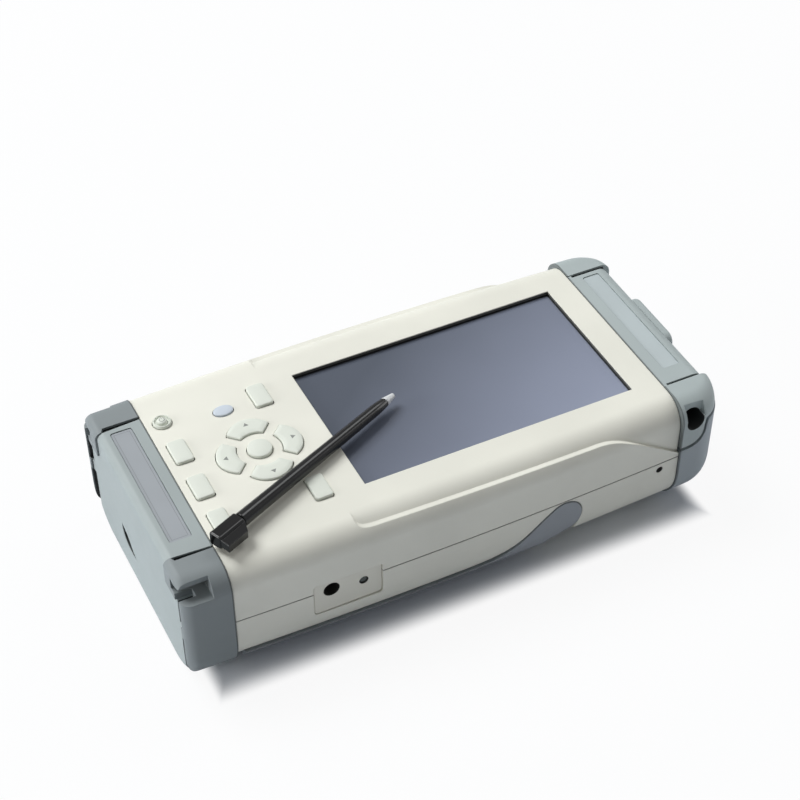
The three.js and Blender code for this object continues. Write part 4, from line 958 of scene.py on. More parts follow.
class Workshop:
    """Puts meshes into the scene and hands out each finish's material once."""

    weld_m, flat_deg, sharp_deg = 2e-6, 0.6, 30.0

    def __init__(self) -> None:
        """Start with no material made."""
        self.materials: dict[Finish, bpy.types.Material] = {}
        self.body_of = {n: b for b, nodes in frame["record"]["behaviour"]["bodies"].items() for n in nodes}
        self.count = 0

    def material(self, finish: Finish) -> bpy.types.Material:
        """The material of a finish, made on first use.

        Args:
            finish: The finish.

        Returns:
            Its material.
        """
        if finish not in self.materials:
            self.materials[finish] = finish.value.build()
        return self.materials[finish]

    def place(self, piece: bpy.types.Object, node: str, finish: Finish) -> None:
        """Dress a piece, let it stand for a node and ride on that node's body.

        Args:
            piece: The new object, at the origin.
            node: The construction node that it stands for.
            finish: Its finish.
        """
        piece.data.materials.clear()
        piece.data.materials.append(self.material(finish))
        piece.data.shade_smooth()
        piece.data.set_sharp_from_angle(angle=math.radians(self.sharp_deg))
        even = piece.modifiers.new("even_shading", "WEIGHTED_NORMAL")
        even.keep_sharp = True
        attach(piece, self.body_of[node])
        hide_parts(node)
        self.count += 1
        LOG.info("%s stands for %s in %s", piece.name, node, finish.value.name)

    def put(self, solid: Solid, node: str, finish: Finish) -> None:
        """Place a body worked out here for a node."""
        self.place(solid.released(f"{node}_piece"), node, finish)

    def soften(self, node: str, finish: Finish, width_mm: float = 0.12) -> None:
        """Copy a node, join its loose faces, round its sharp edges and place it.

        Args:
            node: The construction node to copy.
            finish: Its finish.
            width_mm: Width of the rounding.
        """
        mesh = frame["nodes"][node].data.copy()
        work = bmesh.new()
        work.from_mesh(mesh)
        bmesh.ops.remove_doubles(work, verts=work.verts, dist=self.weld_m)
        flat = math.radians(self.flat_deg)
        bmesh.ops.dissolve_limit(work, angle_limit=flat, verts=work.verts, edges=work.edges)
        work.to_mesh(mesh)
        work.free()
        piece = new_object(f"{node}_piece", mesh)
        bevel = piece.modifiers.new("rounding", "BEVEL")
        bevel.width = width_mm * MM
        bevel.segments = 2
        bevel.limit_method = "ANGLE"
        bevel.angle_limit = math.radians(self.sharp_deg)
        self.place(piece, node, finish)


# The instrument


@dataclass(frozen=True)
class Layer:
    """A body that follows the case's bow at its own depth."""

    x: Pair = (-81.0, 79.0)
    inset: float = 0.0
    top: float = CASE_TOP
    bottom: float = 2.2
    top_round: float = EDGE_ROUND
    back_round: float = 16.2
    stations: int = 17

    def body(self) -> Solid:
        """Sections of these heights and roundings at evenly spaced places along the bow."""
        places = np.linspace(*self.x, self.stations)
        return Solid(sections(
            places, half_width(places) - self.inset, self.top, self.bottom, self.top_round, self.back_round,
        ))


@dataclass(frozen=True)
class CaseScrews:
    """Bosses and bores of the four screws that hold the case together."""

    x: Pair = (-74.0, 70.0)
    y: float = 38.5
    boss_radius: float = 4.0
    boss_z: Pair = (3.7, 27.0)
    shank_radius: float = 1.7
    shank_top: float = 32.0
    head_radius: float = 2.7
    head_top: float = 12.0

    def _rods(self, radius: float, z: Pair) -> list[Solid]:
        """Round bars of one size at all four places."""
        return [rod(Axis.Z, (x, y), radius, *z) for x in self.x for y in centred(self.y)]

    def bosses(self, case: Layer) -> list[Solid]:
        """Bosses, as far as they lie in the case."""
        return [boss.within(case.body()) for boss in self._rods(self.boss_radius, self.boss_z)]

    def bores(self) -> list[Solid]:
        """Bores of the shanks and of the heads."""
        shanks = self._rods(self.shank_radius, (PAST_BACK, self.shank_top))
        return shanks + self._rods(self.head_radius, (PAST_BACK, self.head_top))


@dataclass(frozen=True)
class BatteryBay:
    """Room of the battery, with the seat of its cover and of the cover's two screws."""

    x: Pair = (-57.0, 13.0)
    half: float = 22.0
    top: float = 12.2
    wall: float = 1.6
    rim_z: Pair = (3.7, 10.2)
    cover_x: Pair = (-59.3, 22.3)
    cover_half: float = 24.3
    cover_round: float = 2.0
    cover_top: float = 4.6
    screw: Pair = (17.0, 18.0)
    boss_radius: float = 3.0
    bore_radius: float = 1.4
    bore_z: Pair = (2.2, 9.4)

    def _rods(self, radius: float, z: Pair) -> list[Solid]:
        """Round bars at the places of both screws."""
        return [rod(Axis.Z, (self.screw[0], y), radius, *z) for y in centred(self.screw[1])]

    def walls(self) -> list[Solid]:
        """Rim round the bay and bosses of the cover's screws."""
        rim = block(
            (self.x[0] - self.wall, self.x[1] + self.wall), centred(self.half + self.wall), self.rim_z,
        )
        return [*self._rods(self.boss_radius, (self.rim_z[0], self.top)), rim]

    def room(self) -> list[Solid]:
        """What the battery, its cover and the screws take out of the lower shell."""
        seat = rounded_rect(self.cover_x, centred(self.cover_half), self.cover_round)
        return [
            *self._rods(self.bore_radius, self.bore_z),
            block(self.x, centred(self.half), (PAST_BACK, self.top)),
            prism(Axis.Z, seat, PAST_BACK, self.cover_top),
        ]


@dataclass(frozen=True)
class Shell:
    """The bowed two-part case with its scooped sides, window and holes."""

    case: Layer = Layer()
    hollow: Layer = Layer((-79.0, 77.0), 0.0, 45.4, 5.2, 5.6, 13.2)
    upper_wall: float = 2.6
    lower_wall: float = 3.0
    parting: float = 27.0
    gap: float = 0.3
    lip_inset: float = 1.6
    lip_half_height: float = 1.6
    lip_reach: float = 0.93
    lip_play: float = 0.2
    scooped: Layer = Layer((-101.0, 99.0), 1.1, top_round=9.0)
    ledge_corner: tuple[Pair, ...] = ((-38.1, 47.2), (-37.5, 45.9), (-35.0, 45.7), (-29.5, 45.7))
    ledge_sweep: tuple[Pair, ...] = ((47.0, 44.7), (58.0, 44.5), (62.0, 40.0), (81.0, 27.3))
    below_face: float = 40.4
    window_x: Pair = (-28.6, 69.2)
    window_half: float = 28.2
    glass_x: Pair = (-32.0, 72.6)
    glass_half: float = 31.6
    glass_seat: float = 46.5
    panel_x: Pair = (-55.2, -31.5)
    panel_z: Pair = (17.3, 30.4)
    panel_round: float = 1.2
    panel_inner: float = -37.5
    connector: Pair = CONNECTOR_AT
    connector_radius: float = 3.4
    connector_x: Pair = (75.0, 89.3)
    reset_hole: Pair = (71.8, 24.1)
    reset_radius: float = 1.3
    reset_depth: float = 1.8
    screws: CaseScrews = CaseScrews()
    bay: BatteryBay = BatteryBay()

    def _hollow(self, wall: float) -> Solid:
        """The hollow inside, for walls this thick."""
        return replace(self.hollow, inset=wall).body()

    def _lip(self, play: float) -> Solid:
        """Tongue that closes the parting line, grown by its play.

        Args:
            play: How much it is grown.

        Returns:
            The tongue.
        """
        (low, high), reach = self.hollow.x, self.lip_reach + play
        half = self.lip_half_height
        tongue = replace(self.case, x=(low - reach, high + reach), inset=self.lip_inset - play)
        return tongue.body().within(slab((self.parting - half, self.parting + half + play)))

    def _scoop(self) -> Solid:
        """Outside of a slimmer body within a side outline that sweeps down to the top end.

        Returns:
            The body to cut away.
        """
        corner, sweep = bezier(self.ledge_corner, 20), bezier(self.ledge_sweep, 30)
        outline = np.concatenate([[(corner[0, 0], PAST_TOP)], corner, sweep, [(sweep[-1, 0], PAST_TOP)]])
        return prism(Axis.Y, outline, *centred(PAST_SIDE)).minus(self.scooped.body())

    def _openings(self) -> list[Solid]:
        """Openings that both shells share: those of the socket panel and of the signal connector."""
        panel = rounded_rect(self.panel_x, self.panel_z, self.panel_round)
        return [
            prism(Axis.Y, panel, -PAST_SIDE, self.panel_inner),
            rod(Axis.X, self.connector, self.connector_radius, *self.connector_x),
        ]

    def _upper(self, keys: "KeySet") -> Solid:
        """Upper shell with its window, the seat of the glass and the holes of the keys."""
        return self.case.body().minus(
            slab((PAST_BACK, self.parting + self.gap / 2)),
            self._hollow(self.upper_wall), self._lip(self.lip_play), self._scoop(),
            block(self.window_x, centred(self.window_half), (self.below_face, PAST_TOP)),
            block(self.glass_x, centred(self.glass_half), (self.below_face, self.glass_seat)),
            *self._openings(), *keys.holes(self.below_face),
        )

    def _lower(self, stand: "TiltStand") -> Solid:
        """Lower shell with its bosses, the battery's bay and the stand's recess.

        Args:
            stand: The stand, for its recess and bosses.

        Returns:
            The shell.
        """
        above = slab((self.parting - self.gap / 2, PAST_TOP))
        shell = self.case.body().minus(above, self._hollow(self.lower_wall))
        shell = shell.plus(self._lip(0).minus(self._hollow(self.lower_wall)))
        shell = shell.plus(*self.screws.bosses(self.case), *self.bay.walls(), *stand.bosses())
        floor = self.reset_depth - half_width(self.reset_hole[0])
        return shell.minus(
            *stand.recess(), *self.screws.bores(), *self.bay.room(),
            rod(Axis.Y, self.reset_hole, self.reset_radius, -PAST_SIDE, floor), *self._openings(),
        )

    def build(self, shop: Workshop, keys: "KeySet", stand: "TiltStand") -> None:
        """Make both shells.

        Args:
            shop: Takes the pieces.
            keys: The keys, for their holes.
            stand: The stand, for its recess.
        """
        shop.put(self._upper(keys), "upper_case", Finish.SHELL)
        shop.put(self._lower(stand), "lower_case", Finish.SHELL)


@dataclass(frozen=True)
class TiltStand:
    """Stand that lies round the back's rounded edges, with an ear at each long side."""

    skin: Layer = Layer((-83.0, 54.8), -0.31, bottom=0.85, back_round=16.0)
    hollow: Layer = Layer((-85.0, 56.8), 1.6, 67.8, 3.05, back_round=14.5)
    groove: Layer = Layer((-98.0, 54.8), 1.9, bottom=3.35, back_round=14.2)
    hinge: Pair = (34.8, 19.6)
    start: float = -78.0
    edge_z: float = 9.1
    rise_x: Pair = (0.0, 14.0)
    rise_to: Pair = (21.2, 18.2)
    ear_radius: float = 6.6
    ear_deg: Pair = (125.0, -75.0)
    heel: tuple[Pair, Pair] = ((30.4, 10.5), (25.0, 2.0))
    edge_play: float = 0.8
    side_play: float = 0.4
    heel_play: float = 2.0
    opening_x: Pair = (-64.0, 54.8)
    opening_half: float = 27.0
    opening_round: float = 4.0
    opening_top: float = 27.0
    ear_inner: float = 44.9
    ear_room: float = 7.0
    boss_radius: float = 4.0
    boss_y: Pair = (38.6, 44.6)
    pin_radius: float = 1.55
    pin_y: Pair = (36.6, 44.9)
    bore_radius: float = 1.6
    bore_y: Pair = (42.9, 46.1)
    swing_deg: int = 50
    step_deg: int = 2
    swing_start: float = 16.0

    def _outline(self, edge: float = 0, side: float = 0, heel: float = 0) -> Array:
        """Side outline, grown along its edge, its other sides and its heel.

        Args:
            edge: Growth of the edge.
            side: Growth of the other sides.
            heel: Growth of the heel.

        Returns:
            One row per point.
        """
        ear = arc(self.hinge, self.ear_radius + side, *self.ear_deg, 40)
        start, level, (x, z) = self.start - side, self.edge_z + edge, self.rise_to
        rise = bezier([(self.rise_x[0], level), (self.rise_x[1], level), (x, z + side), ear[0]], 24)
        (high_x, high_z), (low_x, low_z) = self.heel
        return np.concatenate([
            [(start, PAST_BACK), (start, level)], rise, ear[1:],
            [(high_x + heel, high_z), (low_x + heel, low_z), (low_x + heel, PAST_BACK)],
        ])

    def _opening(self, gap: float = 0) -> Solid:
        """Opening between the stand's rails, smaller by a gap.

        Args:
            gap: How much smaller it is on every side.

        Returns:
            The body to cut away.
        """
        (start, end), half = self.opening_x, self.opening_half - gap
        outline = rounded_rect((start + gap, end), centred(half), self.opening_round)
        return prism(Axis.Z, outline, PAST_BACK, self.opening_top)

    def _groove(self) -> Solid:
        """Room that the stand lies in.

        Returns:
            The body to cut away.
        """
        outline = self._outline(self.edge_play, self.side_play, self.heel_play)
        room = prism(Axis.Y, outline, *centred(PAST_SIDE))
        return room.minus(self.groove.body(), self._opening(self.side_play))

    def _relief(self, turn_deg: float) -> Solid:
        """Room of the rails' ends with the stand swung out by this turn.

        Args:
            turn_deg: The turn.

        Returns:
            The body to cut away.
        """
        x, z = self.hinge
        near_hinge = block((self.swing_start, self.groove.x[1]), centred(PAST_SIDE), (PAST_BACK, z))
        swing = Matrix.Rotation(math.radians(-turn_deg), 4, "Y")
        about_hinge = Matrix.Translation((x, 0, z)) @ swing @ Matrix.Translation((-x, 0, -z))
        return self._groove().within(near_hinge).moved(about_hinge)

    def _both(self, radius: float, y: Pair) -> list[Solid]:
        """Round bars about the hinge line, one on each side."""
        return [rod(Axis.Y, self.hinge, radius, *side_range(sign, *y)) for _, sign in SIDES]

    def bosses(self) -> list[Solid]:
        """Bosses of the lower shell that carry the pins."""
        return self._both(self.boss_radius, self.boss_y)

    def recess(self) -> list[Solid]:
        """Everything that the stand takes out of the lower shell.

        Returns:
            The bodies to cut away.
        """
        turns = range(self.step_deg, self.swing_deg + 1, self.step_deg)
        ears = self._both(self.ear_room, (self.boss_y[1], PAST_SIDE))
        pins = self._both(self.pin_radius, self.pin_y)
        return [self._groove(), *ears, *pins, *(self._relief(turn) for turn in turns)]

    def build(self, shop: Workshop) -> None:
        """Make the stand: a thin bent skin within its side outline.

        Args:
            shop: Takes the pieces.
        """
        skin = self.skin.body().minus(self.hollow.body())
        skin = skin.within(prism(Axis.Y, self._outline(), *centred(PAST_SIDE)))
        between_ears = rod(Axis.Y, self.hinge, self.ear_room, *centred(self.ear_inner))
        skin.minus(self._opening(), between_ears, *self._both(self.bore_radius, self.bore_y))
        shop.put(skin, "tilt_stand", Finish.STAND)


@dataclass(frozen=True)
class EndCap:
    """Form of an end cap or of the guards that stand proud of it."""

    seam: float
    end: float
    fillet: float
    corner: float
    back_round: float = 16.0
    proud: float = 0.0
    grow: float = 0.25
    top: float = CASE_TOP
    bottom: float = 0.8
    top_round: float = EDGE_ROUND
    rows: int = 12

    def body(self) -> Solid:
        """Body whose end edge is rounded all round and whose corners are rounded more.

        A rounding of radius r lets the surface in by r - sqrt(r² - (r - d)²) at a distance d from the end.

        Returns:
            The body.
        """
        left = 1 - np.sin(np.radians(np.linspace(0, 90, self.rows + 1)))
        length = self.end - self.seam
        way = np.unique(np.concatenate([[0, abs(length)], self.fillet * left, self.corner * left]))

        def let_in(radius: float) -> Array:
            """Inset of a rounding at every distance."""
            rest = np.clip(radius - way, 0, None)
            return radius - np.sqrt(radius ** 2 - rest ** 2)

        x = self.end - math.copysign(1, length) * way
        inset = let_in(self.fillet)
        return Solid(sections(
            x, half_width(x) + self.grow + self.proud - let_in(self.corner),
            self.top + self.proud - inset, self.bottom - self.proud + inset,
            self.top_round - inset, self.back_round - inset,
        ))


@dataclass(frozen=True)
class End:
    """What both ends have: a cap with a sunk bare plate on top and two feet below."""

    cap: EndCap
    plate_x: Pair
    plate_y: Pair
    feet_x: float
    plate_z: Pair = (47.0, 47.5)
    plate_round: float = 0.8
    plate_gap: float = 0.15
    feet_y: float = 20.0
    foot_half: Pair = (4.15, 8.15)
    foot_top: float = 1.4

    def _plate(self, gap: float, top: float) -> Solid:
        """Plate with rounded corners, grown by a gap and up to a height.

        Args:
            gap: How much it is grown.
            top: The height.

        Returns:
            The plate.
        """
        (x0, x1), (y0, y1) = self.plate_x, self.plate_y
        outline = rounded_rect((x0 - gap, x1 + gap), (y0 - gap, y1 + gap), self.plate_round)
        return prism(Axis.Z, outline, self.plate_z[0], top)

    def _plate_itself(self) -> Solid:
        """The bare plate."""
        return self._plate(0, self.plate_z[1])

    def _pockets(self) -> list[Solid]:
        """Pockets of the two feet and of the plate.

        Returns:
            The bodies to cut away.
        """
        (u, v), x, z = self.foot_half, self.feet_x, (PAST_BACK, self.foot_top)
        feet = [block((x - u, x + u), (y - v, y + v), z) for y in centred(self.feet_y)]
        return [*feet, self._plate(self.plate_gap, PAST_TOP)]


@dataclass(frozen=True)
class BottomEnd(End):
    """The end on the left: a plain cap between two guards with notches for a hand strap."""

    cap: EndCap = EndCap(-81.2, -96.4, 2.6, 3.5)
    plate_x: Pair = (-92.3, -85.2)
    plate_y: Pair = (-24.3, 28.5)
    feet_x: float = -87.4
    guard: EndCap = EndCap(-81.2, -97.1, 2.6, 3.5, proud=0.25)
    shoulder_z: float = 38.5
    post_y: float = 40.6
    cap_slant: tuple[Pair, ...] = ((-PAST_END, 28.9), (-61.0, 32.2))
    guard_slant: tuple[Pair, ...] = ((-PAST_END, 29.05), (-94.6, 30.37), (-93.8, 31.95), (-81.2, 31.95))
    slit_floor: float = -91.5
    slit_y: Pair = (38.4, 41.8)
    slits_z: tuple[Pair, ...] = ((5.0, 23.5), (28.0, 41.2))
    notch_end: float = -87.0
    notch_y: Pair = (35.5, 41.2)
    notch_z: Pair = (41.0, 45.3)
    crescent_centre: Pair = (1.9, 29.9)
    crescent_radius: float = 15.2
    crescent_deg: Pair = (-90.0, -33.0)
    crescent_half: float = 2.6
    crescent_skew: float = 0.7
    crescent_floor: float = -92.0

    def _guard_room(self, sign: int, slant: tuple[Pair, ...]) -> Solid:
        """Room of a guard: a corner post with a shoulder.

        Args:
            sign: Side of the middle.
            slant: Places along the body, each with the shoulder's inner edge there.

        Returns:
            The room as a body.
        """
        rings = [[
            (x, sign * y, z) for y, z in (
                (inner, PAST_TOP), (inner, self.shoulder_z), (self.post_y, self.shoulder_z),
                (self.post_y, PAST_BACK), (PAST_SIDE, PAST_BACK), (PAST_SIDE, PAST_TOP),
            )
        ] for x, inner in slant]
        return Solid(np.array(rings, float))

    def _slits(self) -> list[Solid]:
        """Dark slits between the cap's face and its guards."""
        x = (-PAST_END, self.slit_floor)
        return [block(x, side_range(sign, *self.slit_y), z) for _, sign in SIDES for z in self.slits_z]

    def _notch(self, sign: int) -> list[Solid]:
        """Notch for the strap, with a deeper lower part."""
        x, (inner, outer), (low, high) = (-PAST_END, self.notch_end), self.notch_y, self.notch_z
        return [
            block(x, side_range(sign, outer, PAST_SIDE), (low, PAST_TOP)),
            block(x, side_range(sign, inner, PAST_SIDE), (low, high)),
        ]

    def _crescent(self) -> Solid:
        """Lens-shaped groove: an arc whose width swells and tapers with a sine.

        Returns:
            The body to cut away.
        """
        share = np.linspace(0, 1, 33)
        start, end = self.crescent_deg
        turn = np.radians(start + (end - start) * share)
        swell = self.crescent_half * np.sin(np.pi * share ** (1 / self.crescent_skew))
        heading = np.stack([np.cos(turn), np.sin(turn)], -1)
        outer, inner = (
            self.crescent_centre + (self.crescent_radius + way)[:, None] * heading for way in (swell, -swell)
        )
        return prism(Axis.X, np.concatenate([outer, inner[1:-1][::-1]]), -PAST_END, self.crescent_floor)

    def build(self, shop: Workshop) -> None:
        """Make the cap, its guards and its plate.

        Args:
            shop: Takes the pieces.
        """
        rooms = [self._guard_room(sign, self.cap_slant) for _, sign in SIDES]
        cap = self.cap.body().minus(*rooms, *self._slits(), *self._pockets(), self._crescent())
        shop.put(cap, "bottom_end_cap", Finish.CAP)
        for word, sign in SIDES:
            guard = self.guard.body().within(self._guard_room(sign, self.guard_slant))
            shop.put(guard.minus(*self._slits(), *self._notch(sign)), f"bottom_guard_{word}", Finish.GUARD_PAINTED_DARKER)
        shop.put(self._plate_itself(), "bottom_label_plate", Finish.PLATE_LEFT)


@dataclass(frozen=True)
class TopEnd(End):
    """The end on the right, with the stylus bore, the guards and the hood of the signal connector."""

    cap: EndCap = EndCap(79.2, 95.0, 4.0, 12.0)
    plate_x: Pair = (83.9, 90.1)
    plate_y: Pair = (-23.8, 29.0)
    feet_x: float = 86.0
    lobe: EndCap = EndCap(79.2, 96.8, 4.0, 11.0, proud=0.3)
    lobe_inner: float = 31.95
    guard: EndCap = EndCap(79.2, 97.0, 4.0, 11.0, 19.0, proud=0.5)
    guard_gap: float = 1.2
    guard_inner: float = 33.0
    guard_turn: Pair = (82.0, 37.0)
    guard_round: float = 7.4
    guard_rim: tuple[Pair, Pair] = ((89.8, 39.2), (97.0, 40.3))
    slot_x: Pair = (80.6, 93.8)
    slot_width: float = 1.1
    slot_floor: float = 44.8
    bore: Pair = STYLUS_BORE_AT
    bore_radius: float = 3.4
    bore_end: float = 40.0
    flat_x: Pair = (80.8, 88.2)
    flat_y: float = -41.6
    flat_z: float = 42.0
    connector: Pair = CONNECTOR_AT
    connector_radius: float = 3.4
    connector_x: Pair = (77.2, 90.3)
    recess_radius: float = 9.5
    recess_floor: float = 88.3
    hood_x: Pair = (94.0, 97.1)
    hood_y: Pair = (-10.8, 14.2)
    hood_z: Pair = (15.8, 46.6)
    hood_round: float = 3.2
    hood_play: float = 0.2
    hood_edge: float = 1.6
    overrun: float = 20.0

    def _guard_room(self, sign: int, gap: float, start: float) -> Solid:
        """Room of a guard: its edge curves up from the seam and rises to the end.

        Args:
            sign: Side of the middle.
            gap: How much the room is grown.
            start: Place along the body where it begins.

        Returns:
            The room as a body.
        """
        (x, z), radius = self.guard_turn, self.guard_round - gap
        (near_x, near_z), (end_x, end_z) = self.guard_rim
        outline = np.concatenate([
            [(start, PAST_BACK), (start, z - radius)], arc(self.guard_turn, radius, -90, 0, 20),
            [(near_x - gap, near_z + gap), (end_x, end_z + gap)],
            [(PAST_END, end_z + gap), (PAST_END, PAST_BACK)],
        ])
        return prism(Axis.Y, outline, *side_range(sign, self.guard_inner, PAST_SIDE))

    def _recess(self, start: float) -> Solid:
        """Round room of the signal connector from a place outwards."""
        return rod(Axis.X, self.connector, self.recess_radius, start, PAST_END, 72)

    def _hood_outline(self, grow: float, steps: int) -> Array:
        """Outline of the hood, grown by its play."""
        (y0, y1), (z0, z1) = self.hood_y, self.hood_z
        return rounded_rect((y0 - grow, y1 + grow), (z0 - grow, z1 + grow), self.hood_round + grow, steps)

    def _cap(self) -> Solid:
        """Cap with its lobes, the stylus bore and the connector's room.

        Returns:
            The cap.
        """
        before = self.cap.seam - self.overrun
        between = block((before, PAST_END), centred(self.lobe_inner), (PAST_BACK, PAST_TOP))
        slot_y, slot_z = (self.lobe_inner - self.slot_width, self.lobe_inner), (self.slot_floor, PAST_TOP)
        return self.cap.body().plus(self.lobe.body().minus(between)).minus(
            *(self._guard_room(sign, self.guard_gap, before) for _, sign in SIDES),
            *(block(self.slot_x, side_range(sign, *slot_y), slot_z) for _, sign in SIDES),
            *self._pockets(), rod(Axis.Y, self.bore, self.bore_radius, -PAST_SIDE, self.bore_end),
            block(self.flat_x, (-PAST_SIDE, self.flat_y), (self.flat_z, PAST_TOP)),
            self._recess(self.recess_floor),
            rod(Axis.X, self.connector, self.connector_radius, *self.connector_x),
            prism(Axis.X, self._hood_outline(self.hood_play, 8), self.hood_x[0], PAST_END),
        )

    def _hood(self) -> Solid:
        """Hood with a rounded front edge.

        Returns:
            The hood.
        """
        start, end = self.hood_x
        inset, way = edge_profile(self.hood_edge)
        places, insets = np.concatenate([[start], end - self.hood_edge + way]), np.concatenate([[0], -inset])
        hood = Solid(along(Axis.X, self._hood_outline(0, 12), places, insets))
        return hood.minus(self._recess(start - self.overrun))

    def build(self, shop: Workshop) -> None:
        """Make the cap, its guards, its plate and the hood.

        Args:
            shop: Takes the pieces.
        """
        shop.put(self._cap(), "top_end_cap", Finish.CAP_TOP_PAINTED_LIGHTER)
        for word, sign in SIDES:
            guard = self.guard.body().within(self._guard_room(sign, 0, self.guard.seam))
            shop.put(guard, f"top_guard_{word}", Finish.GUARD_TOP_PAINTED_LIGHTER)
        shop.put(self._plate_itself(), "top_label_plate", Finish.PLATE_RIGHT)
        shop.put(self._hood(), "connector_hood", Finish.CAP_TOP_PAINTED_LIGHTER)


@dataclass(frozen=True)
class SignalConnector:
    """Threaded coaxial socket with its nut and its white insert."""

    middle: Pair = CONNECTOR_AT
    flange: tuple[Pair, ...] = ((72.2, 4.2), (76.2, 4.2), (76.2, 3.1), (90.6, 3.1))
    thread_x: Pair = (91.0, 96.1)
    thread_radius: float = 3.1
    thread_depth: float = 0.2
    thread_turns: int = 21
    rim: tuple[Pair, ...] = ((96.5, 3.1), (96.8, 2.8))
    socket_radius: float = 2.3
    socket_floor: float = 90.8
    nut_profile: tuple[Pair, ...] = ((88.3, 4.2), (88.7, 4.6), (89.9, 4.6), (90.3, 4.2))
    nut_bore: float = 3.15
    nut_bore_x: Pair = (80.0, 100.0)
    insert_profile: tuple[Pair, ...] = ((90.8, 2.2), (95.8, 2.2), (96.0, 2.0))
    pin_radius: float = 0.6
    pin_floor: float = 93.0

    def build(self, shop: Workshop) -> None:
        """Make the socket with a thread of ridges and furrows, the six-sided nut and the insert.

        Args:
            shop: Takes the pieces.
        """
        at = Matrix.Translation((0, *self.middle))
        middle = (0, 0)
        turn = np.linspace(*self.thread_x, 2 * self.thread_turns)
        thread = np.stack([turn, self.thread_radius - self.thread_depth * (np.arange(len(turn)) % 2)], -1)
        body = turned([*self.flange, *thread, *self.rim])
        body.minus(rod(Axis.X, middle, self.socket_radius, self.socket_floor, PAST_END))
        shop.put(body.moved(at), "rf_connector_body", Finish.BRASS)
        start, end, widest = self.nut_profile[0][0], self.nut_profile[-1][0], self.nut_profile[1][1]
        nut = prism(Axis.X, arc(middle, widest, 0, 300, 5), start, end).within(turned(self.nut_profile))
        nut.minus(rod(Axis.X, middle, self.nut_bore, *self.nut_bore_x))
        shop.put(nut.moved(at), "rf_connector_nut", Finish.BRASS)
        pin_hole = rod(Axis.X, middle, self.pin_radius, self.pin_floor, PAST_END, 24)
        insert = turned(self.insert_profile).minus(pin_hole)
        shop.put(insert.moved(at), "rf_connector_insert", Finish.WHITE)


@dataclass(frozen=True)
class Crown:
    """How far a key stands out, how high its dome is and how far in the dome's last ring lies."""

    rise: float
    height: float
    reach: float


